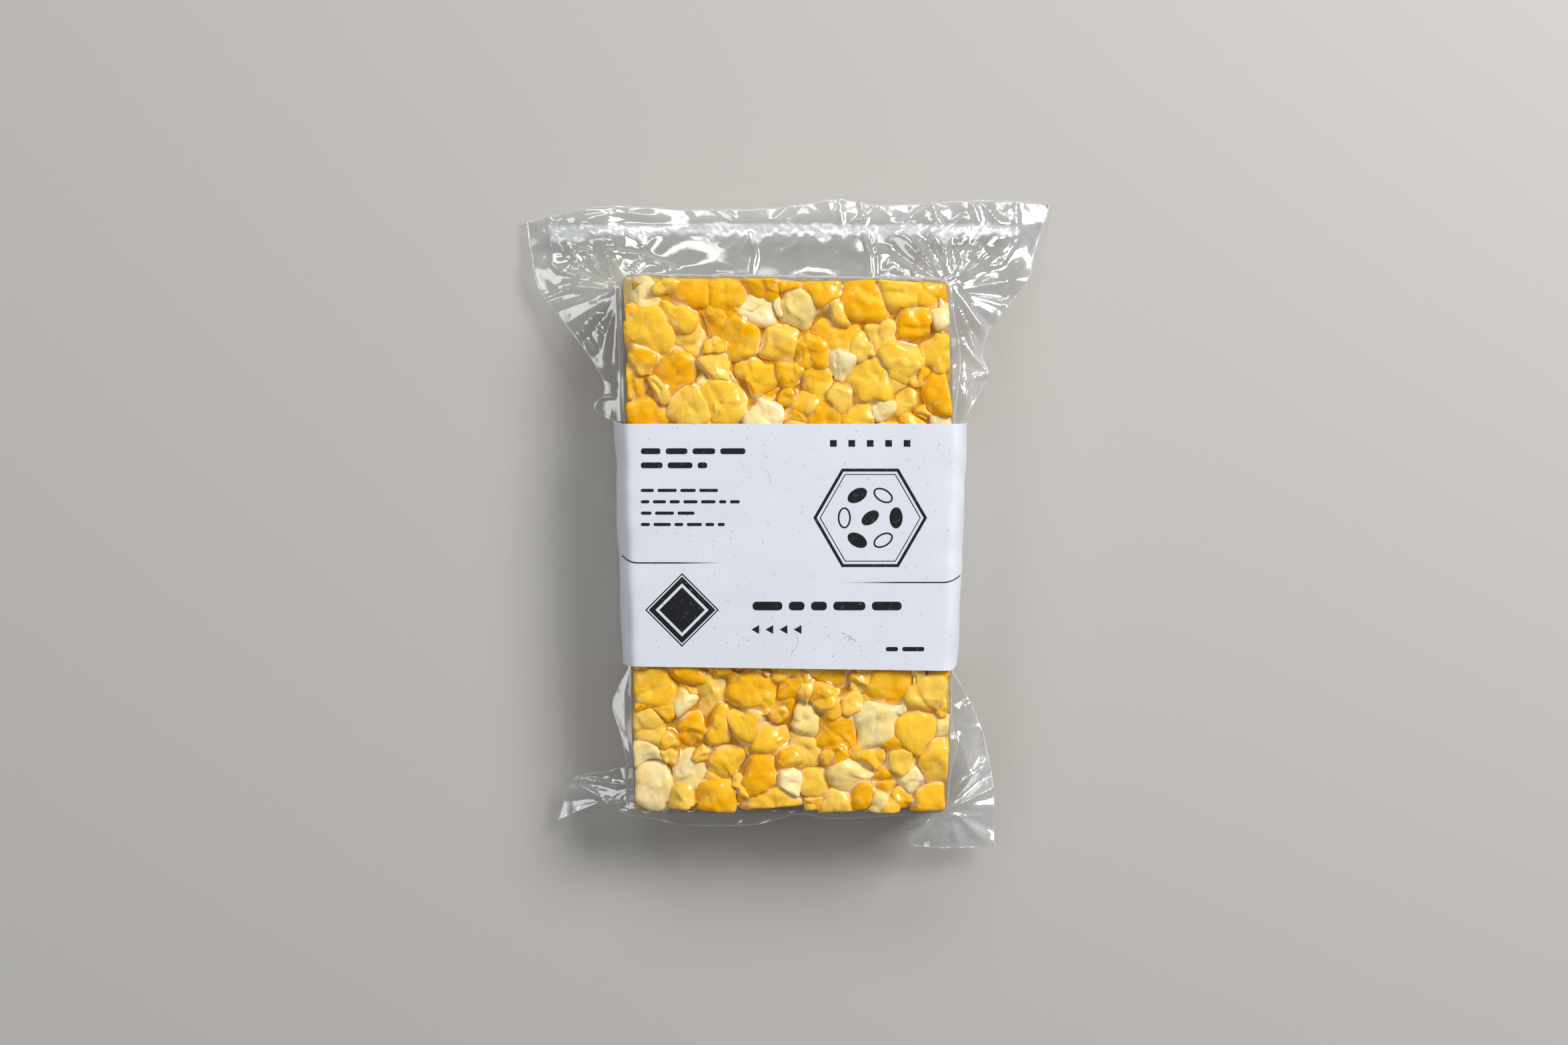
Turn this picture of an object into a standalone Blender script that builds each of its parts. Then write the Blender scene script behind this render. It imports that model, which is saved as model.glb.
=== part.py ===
"""A block of bean tempeh, vacuum packed in a clear pouch, with a paper sleeve round its middle.

Three closed solids, which never touch: the cake, the free margins of the pouch that stand out all
round it, and the sleeve. The block lies flat. X runs across it, Y along it towards its head, Z up,
and the origin is under the middle of the block, in the plane of the sleeve's flat underside.
Everything is in metres.
"""

import math

import bmesh
import bpy
from mathutils import Vector, noise

MM = 0.001
GAP = 0.3 * MM                       # air kept between two solids

# The cake, drawn as a straight box first and then warped to its real, slightly crooked outline.
CAKE_HALF_WIDTH = 41.0 * MM
CAKE_HALF_LENGTH = 68.4 * MM
CAKE_THICKNESS = 23.0 * MM
CAKE_LEFT_LEAN = 1.7 * MM            # the left side runs outwards towards the head
CAKE_RIGHT_BULGE = 1.4 * MM          # the right side is fullest at mid length
CAKE_HEAD_SLANT = 0.7 * MM           # the head is cut a little off square
CAKE_EDGE = 2.6 * MM                 # radius of every edge of the block
CAKE_STEP = 2.8 * MM                 # mesh size where the beans show
HIDDEN_STEP = 6.2 * MM               # mesh size under the sleeve
SIDE_STEP = 4.4 * MM

# The beans, pressed together: cells of a Voronoi pattern with sunken seams between them.
BEAN_PITCH = 10.5 * MM
CREVICE_DEPTH = 1.4 * MM
CREVICE_SHARE = 0.5                  # part of the pitch over which a seam closes
BEAN_UNEVEN = 0.4 * MM               # how much deeper one bean lies than another
BEAN_SHUFFLE = 7.3                   # spreads the beans' centres over the cells of the depth pattern

# The paper sleeve, a flattened tube that is wider at its head end.
PAPER = 0.4 * MM
SLEEVE_HEAD_Y, SLEEVE_FOOT_Y = 31.0 * MM, -31.5 * MM
SLEEVE_HEAD_HALF, SLEEVE_FOOT_HALF = 45.8 * MM, 43.3 * MM
SLEEVE_OFFSET = 0.6 * MM             # the tube sits a little to the right of the block
SLEEVE_SIDE = 5.0 * MM               # width of each rounded side
SLEEVE_SQUARENESS = 3.0              # exponent of the side's superellipse
SLEEVE_SIDE_STEPS = 10
SLEEVE_FLAT_STEPS = 3
SLEEVE_LENGTH_STEPS = 4

CAKE_BOTTOM = PAPER + GAP
CAKE_TOP = CAKE_BOTTOM + CAKE_THICKNESS
SLEEVE_HEIGHT = CAKE_TOP + GAP + PAPER
MID_HEIGHT = SLEEVE_HEIGHT / 2

# The pouch's free margins: two films pressed together, drawn as one thin rippled ring.
FILM_SOLID = 0.8 * MM                # thickness of the ring
FILM_CLEAR = 0.4 * MM                # kept to the cake and to the inside of the sleeve
FILM_RINGS = 4                       # mesh steps from the cake to the cut edge
FILM_STEP = 5.2 * MM                 # mesh size along the cut edge
FILM_DROOP = 0.34                    # fall of the margin for each unit that it stands out
FILM_LOWEST = 1.5 * MM
RIPPLE = 1.3 * MM
RIPPLE_LENGTH = 17.0 * MM


def warp(across, along):
    """The place in plan of a point of the straight block."""
    s = across / CAKE_HALF_WIDTH
    t = along / CAKE_HALF_LENGTH
    left = -CAKE_HALF_WIDTH + 0.2 * MM - CAKE_LEFT_LEAN * t
    right = CAKE_HALF_WIDTH - 0.25 * MM + 0.25 * MM * t + CAKE_RIGHT_BULGE * (1 - t * t)
    x = left + (right - left) * (s + 1) / 2
    y = along - CAKE_HEAD_SLANT * s * max(t, 0)
    return x, y


def bean_relief(p):
    """How far the surface at p lies under the film drawn over the beans."""
    near, centres = noise.voronoi(p / BEAN_PITCH)
    seam = max(0.0, 1 - (near[1] - near[0]) / CREVICE_SHARE)
    sunk = 0.5 + 0.5 * noise.cell(centres[0] * BEAN_SHUFFLE)
    return CREVICE_DEPTH * seam + BEAN_UNEVEN * sunk


def steps_between(low, high, size):
    """Even steps from low up to high, with both ends."""
    count = max(1, round((high - low) / size))
    return [low + (high - low) * i / count for i in range(count + 1)]


def axis_lines(half, stops, sizes):
    """Mesh lines along one axis of the box: two close to each edge, and even steps between the stops."""
    lines = [-half, -half + 0.35 * CAKE_EDGE]
    for low, high, size in zip(stops, stops[1:], sizes):
        lines += steps_between(low, high, size)[:-1]
    return lines + [stops[-1], half - 0.35 * CAKE_EDGE, half]


def box_shell(bm, xs, ys, zs):
    """A closed box of quads whose faces are cut along these lines."""
    shell = {}

    def vertex(i, j, k):
        if (i, j, k) not in shell:
            shell[i, j, k] = bm.verts.new((xs[i], ys[j], zs[k]))
        return shell[i, j, k]

    def face_grid(rows, columns, place, flip):
        for a in range(rows):
            for b in range(columns):
                corners = [(a, b), (a + 1, b), (a + 1, b + 1), (a, b + 1)]
                quad = [vertex(*place(*c)) for c in corners]
                bm.faces.new(quad[::-1] if flip else quad)

    nx, ny, nz = len(xs) - 1, len(ys) - 1, len(zs) - 1
    face_grid(nx, ny, lambda a, b: (a, b, nz), False)
    face_grid(nx, ny, lambda a, b: (a, b, 0), True)
    face_grid(nx, nz, lambda a, b: (a, 0, b), False)
    face_grid(nx, nz, lambda a, b: (a, ny, b), True)
    face_grid(ny, nz, lambda a, b: (nx, a, b), False)
    face_grid(ny, nz, lambda a, b: (0, a, b), True)


def rounded(p, half):
    """p moved from the sharp box onto the one with rounded edges, and the outward direction there."""
    core = Vector([max(-(h - CAKE_EDGE), min(h - CAKE_EDGE, c)) for c, h in zip(p, half)])
    outward = (p - core).normalized()
    return core + outward * CAKE_EDGE, outward


def make_cake():
    half = Vector((CAKE_HALF_WIDTH, CAKE_HALF_LENGTH, CAKE_THICKNESS / 2))
    inner = half - Vector((CAKE_EDGE,) * 3)
    xs = axis_lines(half.x, [-inner.x, inner.x], [CAKE_STEP])
    ys = axis_lines(
        half.y,
        [-inner.y, SLEEVE_FOOT_Y, SLEEVE_HEAD_Y, inner.y],
        [CAKE_STEP, HIDDEN_STEP, CAKE_STEP],
    )
    zs = axis_lines(half.z, [-inner.z, inner.z], [SIDE_STEP])
    bm = bmesh.new()
    box_shell(bm, xs, ys, zs)
    for v in bm.verts:
        p, outward = rounded(v.co, half)
        p -= outward * bean_relief(p)
        x, y = warp(p.x, p.y)
        v.co = (x, y, p.z + MID_HEIGHT)
    return solid("tempeh_cake", bm)


def sleeve_half(y):
    """Half the sleeve's outer width at y."""
    t = (y - SLEEVE_FOOT_Y) / (SLEEVE_HEAD_Y - SLEEVE_FOOT_Y)
    return SLEEVE_FOOT_HALF + (SLEEVE_HEAD_HALF - SLEEVE_FOOT_HALF) * t


def sleeve_section(y, inset):
    """One closed loop round the sleeve at y, set in from its outer face by inset."""
    flat = sleeve_half(y) - SLEEVE_SIDE
    side, rise = SLEEVE_SIDE - inset, MID_HEIGHT - inset
    power = 2 / SLEEVE_SQUARENESS
    right = []
    for i in range(SLEEVE_SIDE_STEPS + 1):
        turn = math.pi * i / SLEEVE_SIDE_STEPS - math.pi / 2
        c, s = math.cos(turn), math.sin(turn)
        right.append((flat + side * abs(c) ** power, math.copysign(rise * abs(s) ** power, s)))
    across = [flat * (1 - 2 * i / SLEEVE_FLAT_STEPS) for i in range(1, SLEEVE_FLAT_STEPS)]
    loop = right + [(x, rise) for x in across]
    loop += [(-x, -z) for x, z in loop]
    return [(SLEEVE_OFFSET + x, y, MID_HEIGHT + z) for x, z in loop]


def make_sleeve():
    ys = steps_between(
        SLEEVE_FOOT_Y, SLEEVE_HEAD_Y, (SLEEVE_HEAD_Y - SLEEVE_FOOT_Y) / SLEEVE_LENGTH_STEPS
    )
    stations = [(y, 0.0) for y in ys] + [(y, PAPER) for y in reversed(ys)]
    bm = bmesh.new()
    loops = [[bm.verts.new(p) for p in sleeve_section(*s)] for s in stations]
    join_loops(bm, loops)
    return solid("paper_sleeve", bm)


def join_loops(bm, loops):
    """Quads between each loop and the next, and between the last and the first."""
    for a, b in zip(loops, loops[1:] + loops[:1]):
        for i in range(len(a)):
            j = (i + 1) % len(a)
            bm.faces.new((a[i], b[i], b[j], a[j]))


def cake_side(across, along):
    """A point of the straight block's outline pushed out by the film's clearance, then warped."""
    half_x, half_y = CAKE_HALF_WIDTH + FILM_CLEAR, CAKE_HALF_LENGTH + FILM_CLEAR
    radius = CAKE_EDGE + FILM_CLEAR
    p = Vector((across * half_x, along * half_y))
    core = Vector((
        max(radius - half_x, min(half_x - radius, p.x)),
        max(radius - half_y, min(half_y - radius, p.y)),
    ))
    p = core + (p - core).normalized() * radius
    return Vector(warp(p.x, p.y))


def pouch_stations():
    """Pairs of places, anticlockwise from the sleeve's head end on the right: the first on the block's
    outline, in shares of its half width and half length, and the second on the pouch's cut edge, in mm."""
    return [
        ((1, 0.462), (45.2, 31.6)), ((1, 0.53), (48.4, 37.0)), ((1, 0.62), (52.2, 44.4)),
        ((1, 0.71), (50.9, 50.5)), ((1, 0.79), (54.0, 57.5)), ((1, 0.88), (62.6, 68.8)),
        ((1, 0.95), (65.0, 77.0)), ((1, 1), (69.4, 89.6)),
        ((0.84, 1), (54.0, 90.6)), ((0.56, 1), (36.9, 89.8)), ((0.25, 1), (13.4, 90.6)),
        ((-0.05, 1), (-3.0, 88.4)), ((-0.5, 1), (-30.0, 88.2)), ((-0.84, 1), (-52.0, 88.4)),
        ((-1, 1), (-68.8, 85.0)), ((-1, 0.95), (-66.8, 72.5)), ((-1, 0.88), (-61.4, 61.2)),
        ((-1, 0.77), (-53.6, 51.8)), ((-1, 0.64), (-48.2, 43.0)), ((-1, 0.55), (-49.8, 37.0)),
        ((-1, 0.468), (-44.2, 31.6)),
        ((-1, -0.474), (-41.4, -32.1)), ((-1, -0.56), (-44.0, -38.0)), ((-1, -0.63), (-45.4, -43.0)),
        ((-1, -0.75), (-42.4, -51.6)), ((-1, -0.84), (-41.8, -58.0)), ((-1, -0.87), (-55.5, -60.5)),
        ((-1, -0.91), (-60.5, -71.5)), ((-1, -0.94), (-57.0, -70.6)), ((-1, -1), (-42.5, -70.0)),
        ((-0.84, -1), (-34.0, -71.4)), ((-0.62, -1), (-25.0, -73.0)), ((-0.24, -1), (-9.0, -72.8)),
        ((0.06, -1), (2.4, -70.2)), ((0.3, -1), (12.0, -71.4)), ((0.75, -1), (30.2, -70.4)),
        ((0.79, -1), (31.0, -76.6)), ((0.86, -1), (35.0, -78.8)), ((1, -1), (54.0, -79.0)),
        ((1, -0.95), (53.8, -66.0)), ((1, -0.84), (52.6, -56.0)), ((1, -0.66), (48.6, -44.0)),
        ((1, -0.474), (42.6, -32.1)),
    ]


def pouch_spokes():
    """The pairs (place beside the cake, place on the cut edge) in metres, with the long stretches
    between two stations cut into even steps. Under the sleeve both stay between it and the cake."""
    marks = pouch_stations()
    spokes = []
    for (a_in, a_out), (b_in, b_out) in zip(marks, marks[1:] + marks[:1]):
        a_out, b_out = Vector(a_out) * MM, Vector(b_out) * MM
        count = max(1, round((b_out - a_out).length / FILM_STEP))
        for i in range(count):
            t = i / count
            beside = Vector(a_in).lerp(Vector(b_in), t)
            spokes.append((cake_side(*beside), a_out.lerp(b_out, t)))
    return spokes


def film_height(beside, out):
    """Height of the margin's middle: it leaves the cake at mid height, falls outwards and ripples."""
    reach = (out - beside).length
    around = (out.x + 1.7 * out.y) / RIPPLE_LENGTH
    ripple = RIPPLE * min(1, reach / (12 * MM)) * math.sin(2 * math.pi * around)
    return max(FILM_LOWEST, MID_HEIGHT - FILM_DROOP * reach + ripple)


def make_pouch():
    spokes = pouch_spokes()
    bm = bmesh.new()

    def ring(share, side):
        loop = []
        for beside, edge in spokes:
            p = beside.lerp(edge, share)
            loop.append(bm.verts.new((p.x, p.y, film_height(beside, p) + side * FILM_SOLID / 2)))
        return loop

    shares = [i / FILM_RINGS for i in range(FILM_RINGS + 1)]
    loops = [ring(s, -1) for s in shares] + [ring(s, 1) for s in reversed(shares)]
    join_loops(bm, loops)
    return solid("pouch_margin", bm)


def solid(name, bm):
    """Makes the mesh an object of that name, as triangles that face outwards."""
    bmesh.ops.triangulate(bm, faces=bm.faces[:])
    bmesh.ops.recalc_face_normals(bm, faces=bm.faces[:])
    mesh = bpy.data.meshes.new(name)
    bm.to_mesh(mesh)
    bm.free()
    thing = bpy.data.objects.new(name, mesh)
    bpy.context.scene.collection.objects.link(thing)
    return thing


def paint(thing, colour, roughness, alpha=1.0):
    """Gives the object a plain material of its own."""
    material = bpy.data.materials.new(thing.name)
    material.use_nodes = True
    shader = material.node_tree.nodes["Principled BSDF"]
    shader.inputs["Base Color"].default_value = (*colour, 1.0)
    shader.inputs["Roughness"].default_value = roughness
    shader.inputs["Metallic"].default_value = 0.0
    shader.inputs["Alpha"].default_value = alpha
    thing.data.materials.append(material)


def main():
    for old in list(bpy.data.objects):
        bpy.data.objects.remove(old)
    paint(make_cake(), (0.87, 0.46, 0.04), 0.35)
    paint(make_sleeve(), (0.72, 0.76, 0.82), 0.6)
    paint(make_pouch(), (0.85, 0.88, 0.90), 0.12, alpha=0.35)


main()
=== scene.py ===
"""The looks of a vacuum packed tempeh cake: pressed beans over a core, the clear film drawn tight over
them, the pouch's crinkled margins, the paper sleeve and its print, and a plain studio round them."""

import math
import random

import bmesh
import bpy
import numpy as np
from bpy.props import FloatProperty, FloatVectorProperty, IntProperty, PointerProperty
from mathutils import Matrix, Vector, noise
from mathutils.bvhtree import BVHTree


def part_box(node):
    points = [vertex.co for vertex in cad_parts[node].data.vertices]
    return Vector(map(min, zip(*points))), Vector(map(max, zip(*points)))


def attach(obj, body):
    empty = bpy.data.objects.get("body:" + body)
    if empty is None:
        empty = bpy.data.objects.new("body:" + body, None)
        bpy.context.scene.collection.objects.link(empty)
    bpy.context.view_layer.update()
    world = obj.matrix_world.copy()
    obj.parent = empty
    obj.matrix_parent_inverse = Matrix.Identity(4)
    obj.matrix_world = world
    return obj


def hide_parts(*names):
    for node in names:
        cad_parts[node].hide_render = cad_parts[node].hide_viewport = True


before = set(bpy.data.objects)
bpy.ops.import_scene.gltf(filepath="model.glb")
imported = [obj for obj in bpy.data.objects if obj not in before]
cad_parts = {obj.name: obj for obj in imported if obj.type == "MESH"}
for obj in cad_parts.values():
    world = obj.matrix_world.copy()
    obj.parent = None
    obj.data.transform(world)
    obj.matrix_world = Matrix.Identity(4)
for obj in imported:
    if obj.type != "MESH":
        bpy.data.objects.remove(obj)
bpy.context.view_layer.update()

bl_info = {
    "name": "Vacuum Packed Tempeh",
    "version": (1, 0, 0),
    "blender": (4, 5, 0),
    "location": "View3D > Sidebar > Tempeh",
    "description": "Builds a bean tempeh block in a clear pouch with a paper sleeve",
    "category": "Object",
}

MM = 0.001
BODY = "root"

# Places that come from the frame.
CAKE_LOW, CAKE_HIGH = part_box("tempeh_cake")
SLEEVE_LOW, SLEEVE_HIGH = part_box("paper_sleeve")
MID = (SLEEVE_LOW.z + SLEEVE_HIGH.z) / 2
PAPER = 0.4 * MM

# The cake as a straight box, in the same terms as its solid, and how it leans to its real outline.
HALF = Vector((41.0 * MM, 68.4 * MM, (SLEEVE_HIGH.z - SLEEVE_LOW.z) / 2 - PAPER - 0.3 * MM))
LEFT_LEAN = 1.7 * MM
RIGHT_BULGE = 1.4 * MM
HEAD_SLANT = 0.7 * MM
EDGE = 2.6 * MM
SLEEVE_REACH = 5.0 * MM              # how far the beans run on under the sleeve


# ---------------------------------------------------------------- shared geometry

def warp(p):
    """A point of the straight box moved to its real place."""
    s, t = p[0] / HALF.x, p[1] / HALF.y
    left = -HALF.x + 0.2 * MM - LEFT_LEAN * t
    right = HALF.x - 0.25 * MM + 0.25 * MM * t + RIGHT_BULGE * (1 - t * t)
    return Vector((
        left + (right - left) * (s + 1) / 2,
        p[1] - HEAD_SLANT * s * max(t, 0),
        p[2] + MID,
    ))


def warp_all(points):
    """warp for an array of points."""
    s, t = points[:, 0] / HALF.x, points[:, 1] / HALF.y
    left = -HALF.x + 0.2 * MM - LEFT_LEAN * t
    right = HALF.x - 0.25 * MM + 0.25 * MM * t + RIGHT_BULGE * (1 - t * t)
    x = left + (right - left) * (s + 1) / 2
    y = points[:, 1] - HEAD_SLANT * s * np.maximum(t, 0)
    return np.stack([x, y, points[:, 2] + MID], axis=1)


def smooth(low, high, value):
    """0 below low, 1 above high and an even curve between."""
    t = min(1.0, max(0.0, (value - low) / (high - low)))
    return t * t * (3 - 2 * t)


def new_piece(name, points, faces, nodes=(), shade_smooth=True):
    """A mesh object of these points, riding on the body and standing for these nodes."""
    mesh = bpy.data.meshes.new(name)
    mesh.from_pydata([tuple(p) for p in points], [], faces)
    mesh.validate()
    piece = bpy.data.objects.new(name, mesh)
    bpy.context.scene.collection.objects.link(piece)
    return settle(piece, nodes, shade_smooth)


def settle(piece, nodes=(), shade_smooth=True):
    """Shades the piece, and tells the frame what it rides on and stands for."""
    piece.data.polygons.foreach_set("use_smooth", [shade_smooth] * len(piece.data.polygons))
    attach(piece, BODY)
    if nodes:
        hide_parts(*nodes)
    return piece


def remember(piece, name, values):
    """Keeps one number for each vertex of the piece, for its material to read."""
    data = piece.data.attributes.new(name, "FLOAT", "POINT")
    data.data.foreach_set("value", np.asarray(values, np.float32))


def wipe(*names):
    """Removes pieces of an earlier run."""
    for name in names:
        old = bpy.data.objects.get(name)
        if old is not None:
            bpy.data.objects.remove(old)


# ---------------------------------------------------------------- shared materials

def new_material(name):
    """An empty node material and its output."""
    material = bpy.data.materials.new(name)
    material.use_nodes = True
    tree = material.node_tree
    tree.nodes.clear()
    return material, tree, tree.nodes.new("ShaderNodeOutputMaterial")


def node(tree, kind, values=None, **settings):
    """A new node with these settings and these input values."""
    made = tree.nodes.new("ShaderNode" + kind)
    for key, value in settings.items():
        setattr(made, key, value)
    for key, value in (values or {}).items():
        made.inputs[key].default_value = value
    return made


def join(tree, source, target):
    tree.links.new(source, target)


def ramp(tree, stops, source=None):
    """A colour ramp with (place, colour) stops."""
    made = tree.nodes.new("ShaderNodeValToRGB")
    keys = made.color_ramp.elements
    while len(keys) < len(stops):
        keys.new(0.5)
    for key, (place, colour) in zip(keys, stops):
        key.position = place
        key.color = (*colour, 1) if len(colour) == 3 else colour
    if source is not None:
        join(tree, source, made.inputs["Fac"])
    return made.outputs["Color"]


def maths(tree, operation, a, b=None, clamp=False):
    """A Math node on two sockets or numbers."""
    made = node(tree, "Math", operation=operation, use_clamp=clamp)
    for place, value in zip(made.inputs, (a, b)):
        if value is None:
            continue
        if isinstance(value, (int, float)):
            place.default_value = value
        else:
            join(tree, value, place)
    return made.outputs[0]


def mix_colours(tree, share, a, b, blend="MIX"):
    """A colour mix of two sockets or colours."""
    made = node(tree, "Mix", data_type="RGBA", blend_type=blend)
    for place, value in ((made.inputs[0], share), (made.inputs[6], a), (made.inputs[7], b)):
        if isinstance(value, bpy.types.NodeSocket):
            join(tree, value, place)
        elif isinstance(value, (int, float)):
            place.default_value = value
        else:
            place.default_value = (*value[:3], 1)
    return made.outputs[2]


def own_noise(tree, scale, detail=3.0, roughness=0.55, stretch=None):
    """Noise fixed to the piece, with scale in waves per metre."""
    place = node(tree, "TexCoord").outputs["Object"]
    if stretch:
        mapping = node(tree, "Mapping", {"Scale": stretch})
        join(tree, place, mapping.inputs["Vector"])
        place = mapping.outputs["Vector"]
    made = node(tree, "TexNoise", {"Scale": scale, "Detail": detail, "Roughness": roughness})
    join(tree, place, made.inputs["Vector"])
    return made.outputs["Fac"]


def new_group(name, inputs, outputs):
    """A shader node group with these sockets: its tree, its inputs and its output node."""
    tree = bpy.data.node_groups.new(name, "ShaderNodeTree")
    for way, sockets in (("INPUT", inputs), ("OUTPUT", outputs)):
        for label, kind in sockets:
            tree.interface.new_socket(label, in_out=way, socket_type="NodeSocket" + kind)
    return tree, tree.nodes.new("NodeGroupInput").outputs, tree.nodes.new("NodeGroupOutput").inputs


def place_group(tree, group, values):
    """The group's node in a material, with its own values."""
    made = node(tree, "Group", node_tree=group)
    for key, value in values.items():
        made.inputs[key].default_value = (*value, 1) if isinstance(made.inputs[key], bpy.types.NodeSocketColor) else value
    return made.outputs


def own_value(tree, name):
    """The number that the piece keeps under this name."""
    return node(tree, "Attribute", attribute_name=name).outputs["Fac"]


# ---------------------------------------------------------------- beans

KINDS = ("golden_beans", "pale_beans", "cream_beans", "bean_chips")

# Places on top, in mm, where a cream bean shows.
CREAM_PLACES = (
    (-36, 64), (-10, 63), (5, 63), (3, 56), (-20, 43), (23, 39), (-11, 33), (12, 48), (38, 60),
    (-25.5, -39.5), (-35.5, -52), (-34.5, -66), (6, -48), (34, -61), (-26.5, -58.5), (3, -62), (21, -66),
    (31.5, -42),
)


class Bean:
    """One bean: where it lies in the straight block, its half width and the soft facets that bound it."""

    def __init__(self, rng, place, size, sunk, up):
        self.place = np.array(place, float)
        self.size = size
        self.sunk = sunk
        self.up = up                # 1 on top, -1 beneath, 0 round the sides
        self.tilt = (rng.gauss(0, 0.15), rng.gauss(0, 0.15))
        self.roundness = rng.uniform(6, 16)
        self.crease = rng.uniform(0, math.pi) if rng.random() < 0.35 else None
        self.tone = rng.random()
        self.lot = rng.random()
        stretch = math.sqrt(rng.uniform(2.0, 3.4) if rng.random() < 0.32 else rng.uniform(1.0, 1.6))
        turn = rng.uniform(0, math.pi)
        count = rng.choice((4, 5, 5, 6))
        self.facets = []
        for k in range(count):
            angle = 2 * math.pi * (k + rng.uniform(-0.3, 0.3)) / count
            reach = size * math.hypot(stretch * math.cos(angle), math.sin(angle) / stretch)
            across = (math.cos(angle + turn), math.sin(angle + turn), rng.gauss(0, 0.3))
            self.facets.append((across, reach * rng.uniform(0.95, 1.35)))
        for side in (1, -1):
            lean = (rng.gauss(0, 0.16), rng.gauss(0, 0.16), side)
            self.facets.append((lean, size * rng.uniform(0.62, 0.85)))
            for _ in range(rng.choice((1, 2, 3))):
                angle = rng.uniform(0, 2 * math.pi)
                cut = (math.cos(angle), math.sin(angle), side * rng.uniform(0.7, 1.6))
                self.facets.append((cut, size * rng.uniform(0.72, 0.98)))


def room_between(point, placed, closeness):
    """Half width of the bean that would just fit at this point."""
    x, y, size = placed.T
    return (np.hypot(point[0] - x, point[1] - y) / closeness - size).min()


def fill_face(rng, settings, low, high):
    """Places and half widths of beans that fill a rectangle: large ones thrown in first, and then always
    the widest gap filled with what fits it."""
    full = settings.bean_half
    area = (high[0] - low[0]) * (high[1] - low[1])
    placed = np.array([(1.0, 1.0, 0.0)])
    for _ in range(round(settings.large_share * area / (math.pi * full ** 2))):
        size = full * rng.uniform(0.98, 1.36)
        for _ in range(60):
            spot = (rng.uniform(low[0], high[0]), rng.uniform(low[1], high[1]))
            if room_between(spot, placed, settings.closeness) > size:
                placed = np.vstack([placed, (*spot, size)])
                break
    while True:
        spots = [(rng.uniform(low[0], high[0]), rng.uniform(low[1], high[1])) for _ in range(120)]
        rooms = [room_between(spot, placed, settings.closeness) for spot in spots]
        best = int(np.argmax(rooms))
        if rooms[best] < 0.30 * full:
            return placed[1:]
        size = min(rooms[best], full * rng.uniform(0.5, 1.0))
        placed = np.vstack([placed, (*spots[best], size * rng.uniform(0.92, 1.08))])


def beans_of_end(settings, end):
    """The beans of the head (end 1) or the foot (end -1)."""
    rng = random.Random(settings.seed + end)
    near = (SLEEVE_HIGH.y if end > 0 else -SLEEVE_LOW.y) - SLEEVE_REACH
    far, side = HALF.y - 1.8 * MM, HALF.x - 1.8 * MM
    beans = []
    for face in (1, -1):
        for x, y, size in fill_face(rng, settings, (-side, near), (side, far)):
            small = 1 - min(1.0, size / settings.bean_half)
            sunk = (1.7 * rng.random() ** 1.6 + 0.9 * small * rng.random()) * MM
            z = HALF.z - sunk - 0.62 * size
            beans.append(Bean(rng, (x, end * y, face * z), size, sunk, face))
    for x, y in CREAM_PLACES:
        if y * end > 0:
            tops = [bean for bean in beans if bean.up == 1]
            min(tops, key=lambda b: math.hypot(b.place[0] - x * MM, b.place[1] - y * MM)).lot = 0
    step = 1.7 * settings.bean_half
    sides = [(sign * (HALF.x - 4 * MM), y) for y in np.arange(near + step / 2, far, step) for sign in (1, -1)]
    ends = [(x, HALF.y - 4 * MM) for x in np.arange(-side + step / 2, side, step)]
    for x, y in sides + ends:
        size = settings.bean_half * rng.uniform(0.85, 1.25)
        beans.append(Bean(rng, (x, end * y, rng.uniform(-2.5, 2.5) * MM), size, 0.3 * MM, 0))
    return beans


def soft_reach(directions, planes, sharpness):
    """How far each direction runs before it meets the planes, rounded off between them."""
    total = np.zeros(len(directions))
    for normal, reach in planes:
        normal = np.array(normal) / np.linalg.norm(normal)
        facing = np.maximum(directions @ normal, 0)
        total += (facing / max(reach, 0.3 * MM)) ** sharpness
    return np.maximum(total, 1e-30) ** (-1 / sharpness)


def face_plane(bean):
    """The plane of the block's face that a bean on the top or the underside is drawn up against."""
    room = HALF.z - abs(bean.place[2]) - bean.sunk
    return (*bean.tilt, bean.up), room


def walls_of(bean, end):
    """The planes of the block's sides that press a bean flat."""
    planes = []
    for axis, signs in ((0, (1, -1)), (1, (end,)), (2, (1, -1))):
        for sign in signs:
            normal = [0.35 * bean.tilt[0], 0.35 * bean.tilt[1], 0.35 * bean.tilt[0]]
            normal[axis] = sign
            shy = (0.1 + 0.5 * bean.tone if axis == 2 else 0.1 + 2.2 * bean.lot ** 2) * 0.5 * MM
            room = HALF[axis] - sign * bean.place[axis] - shy
            planes.append((normal, room))
    return planes


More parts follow.
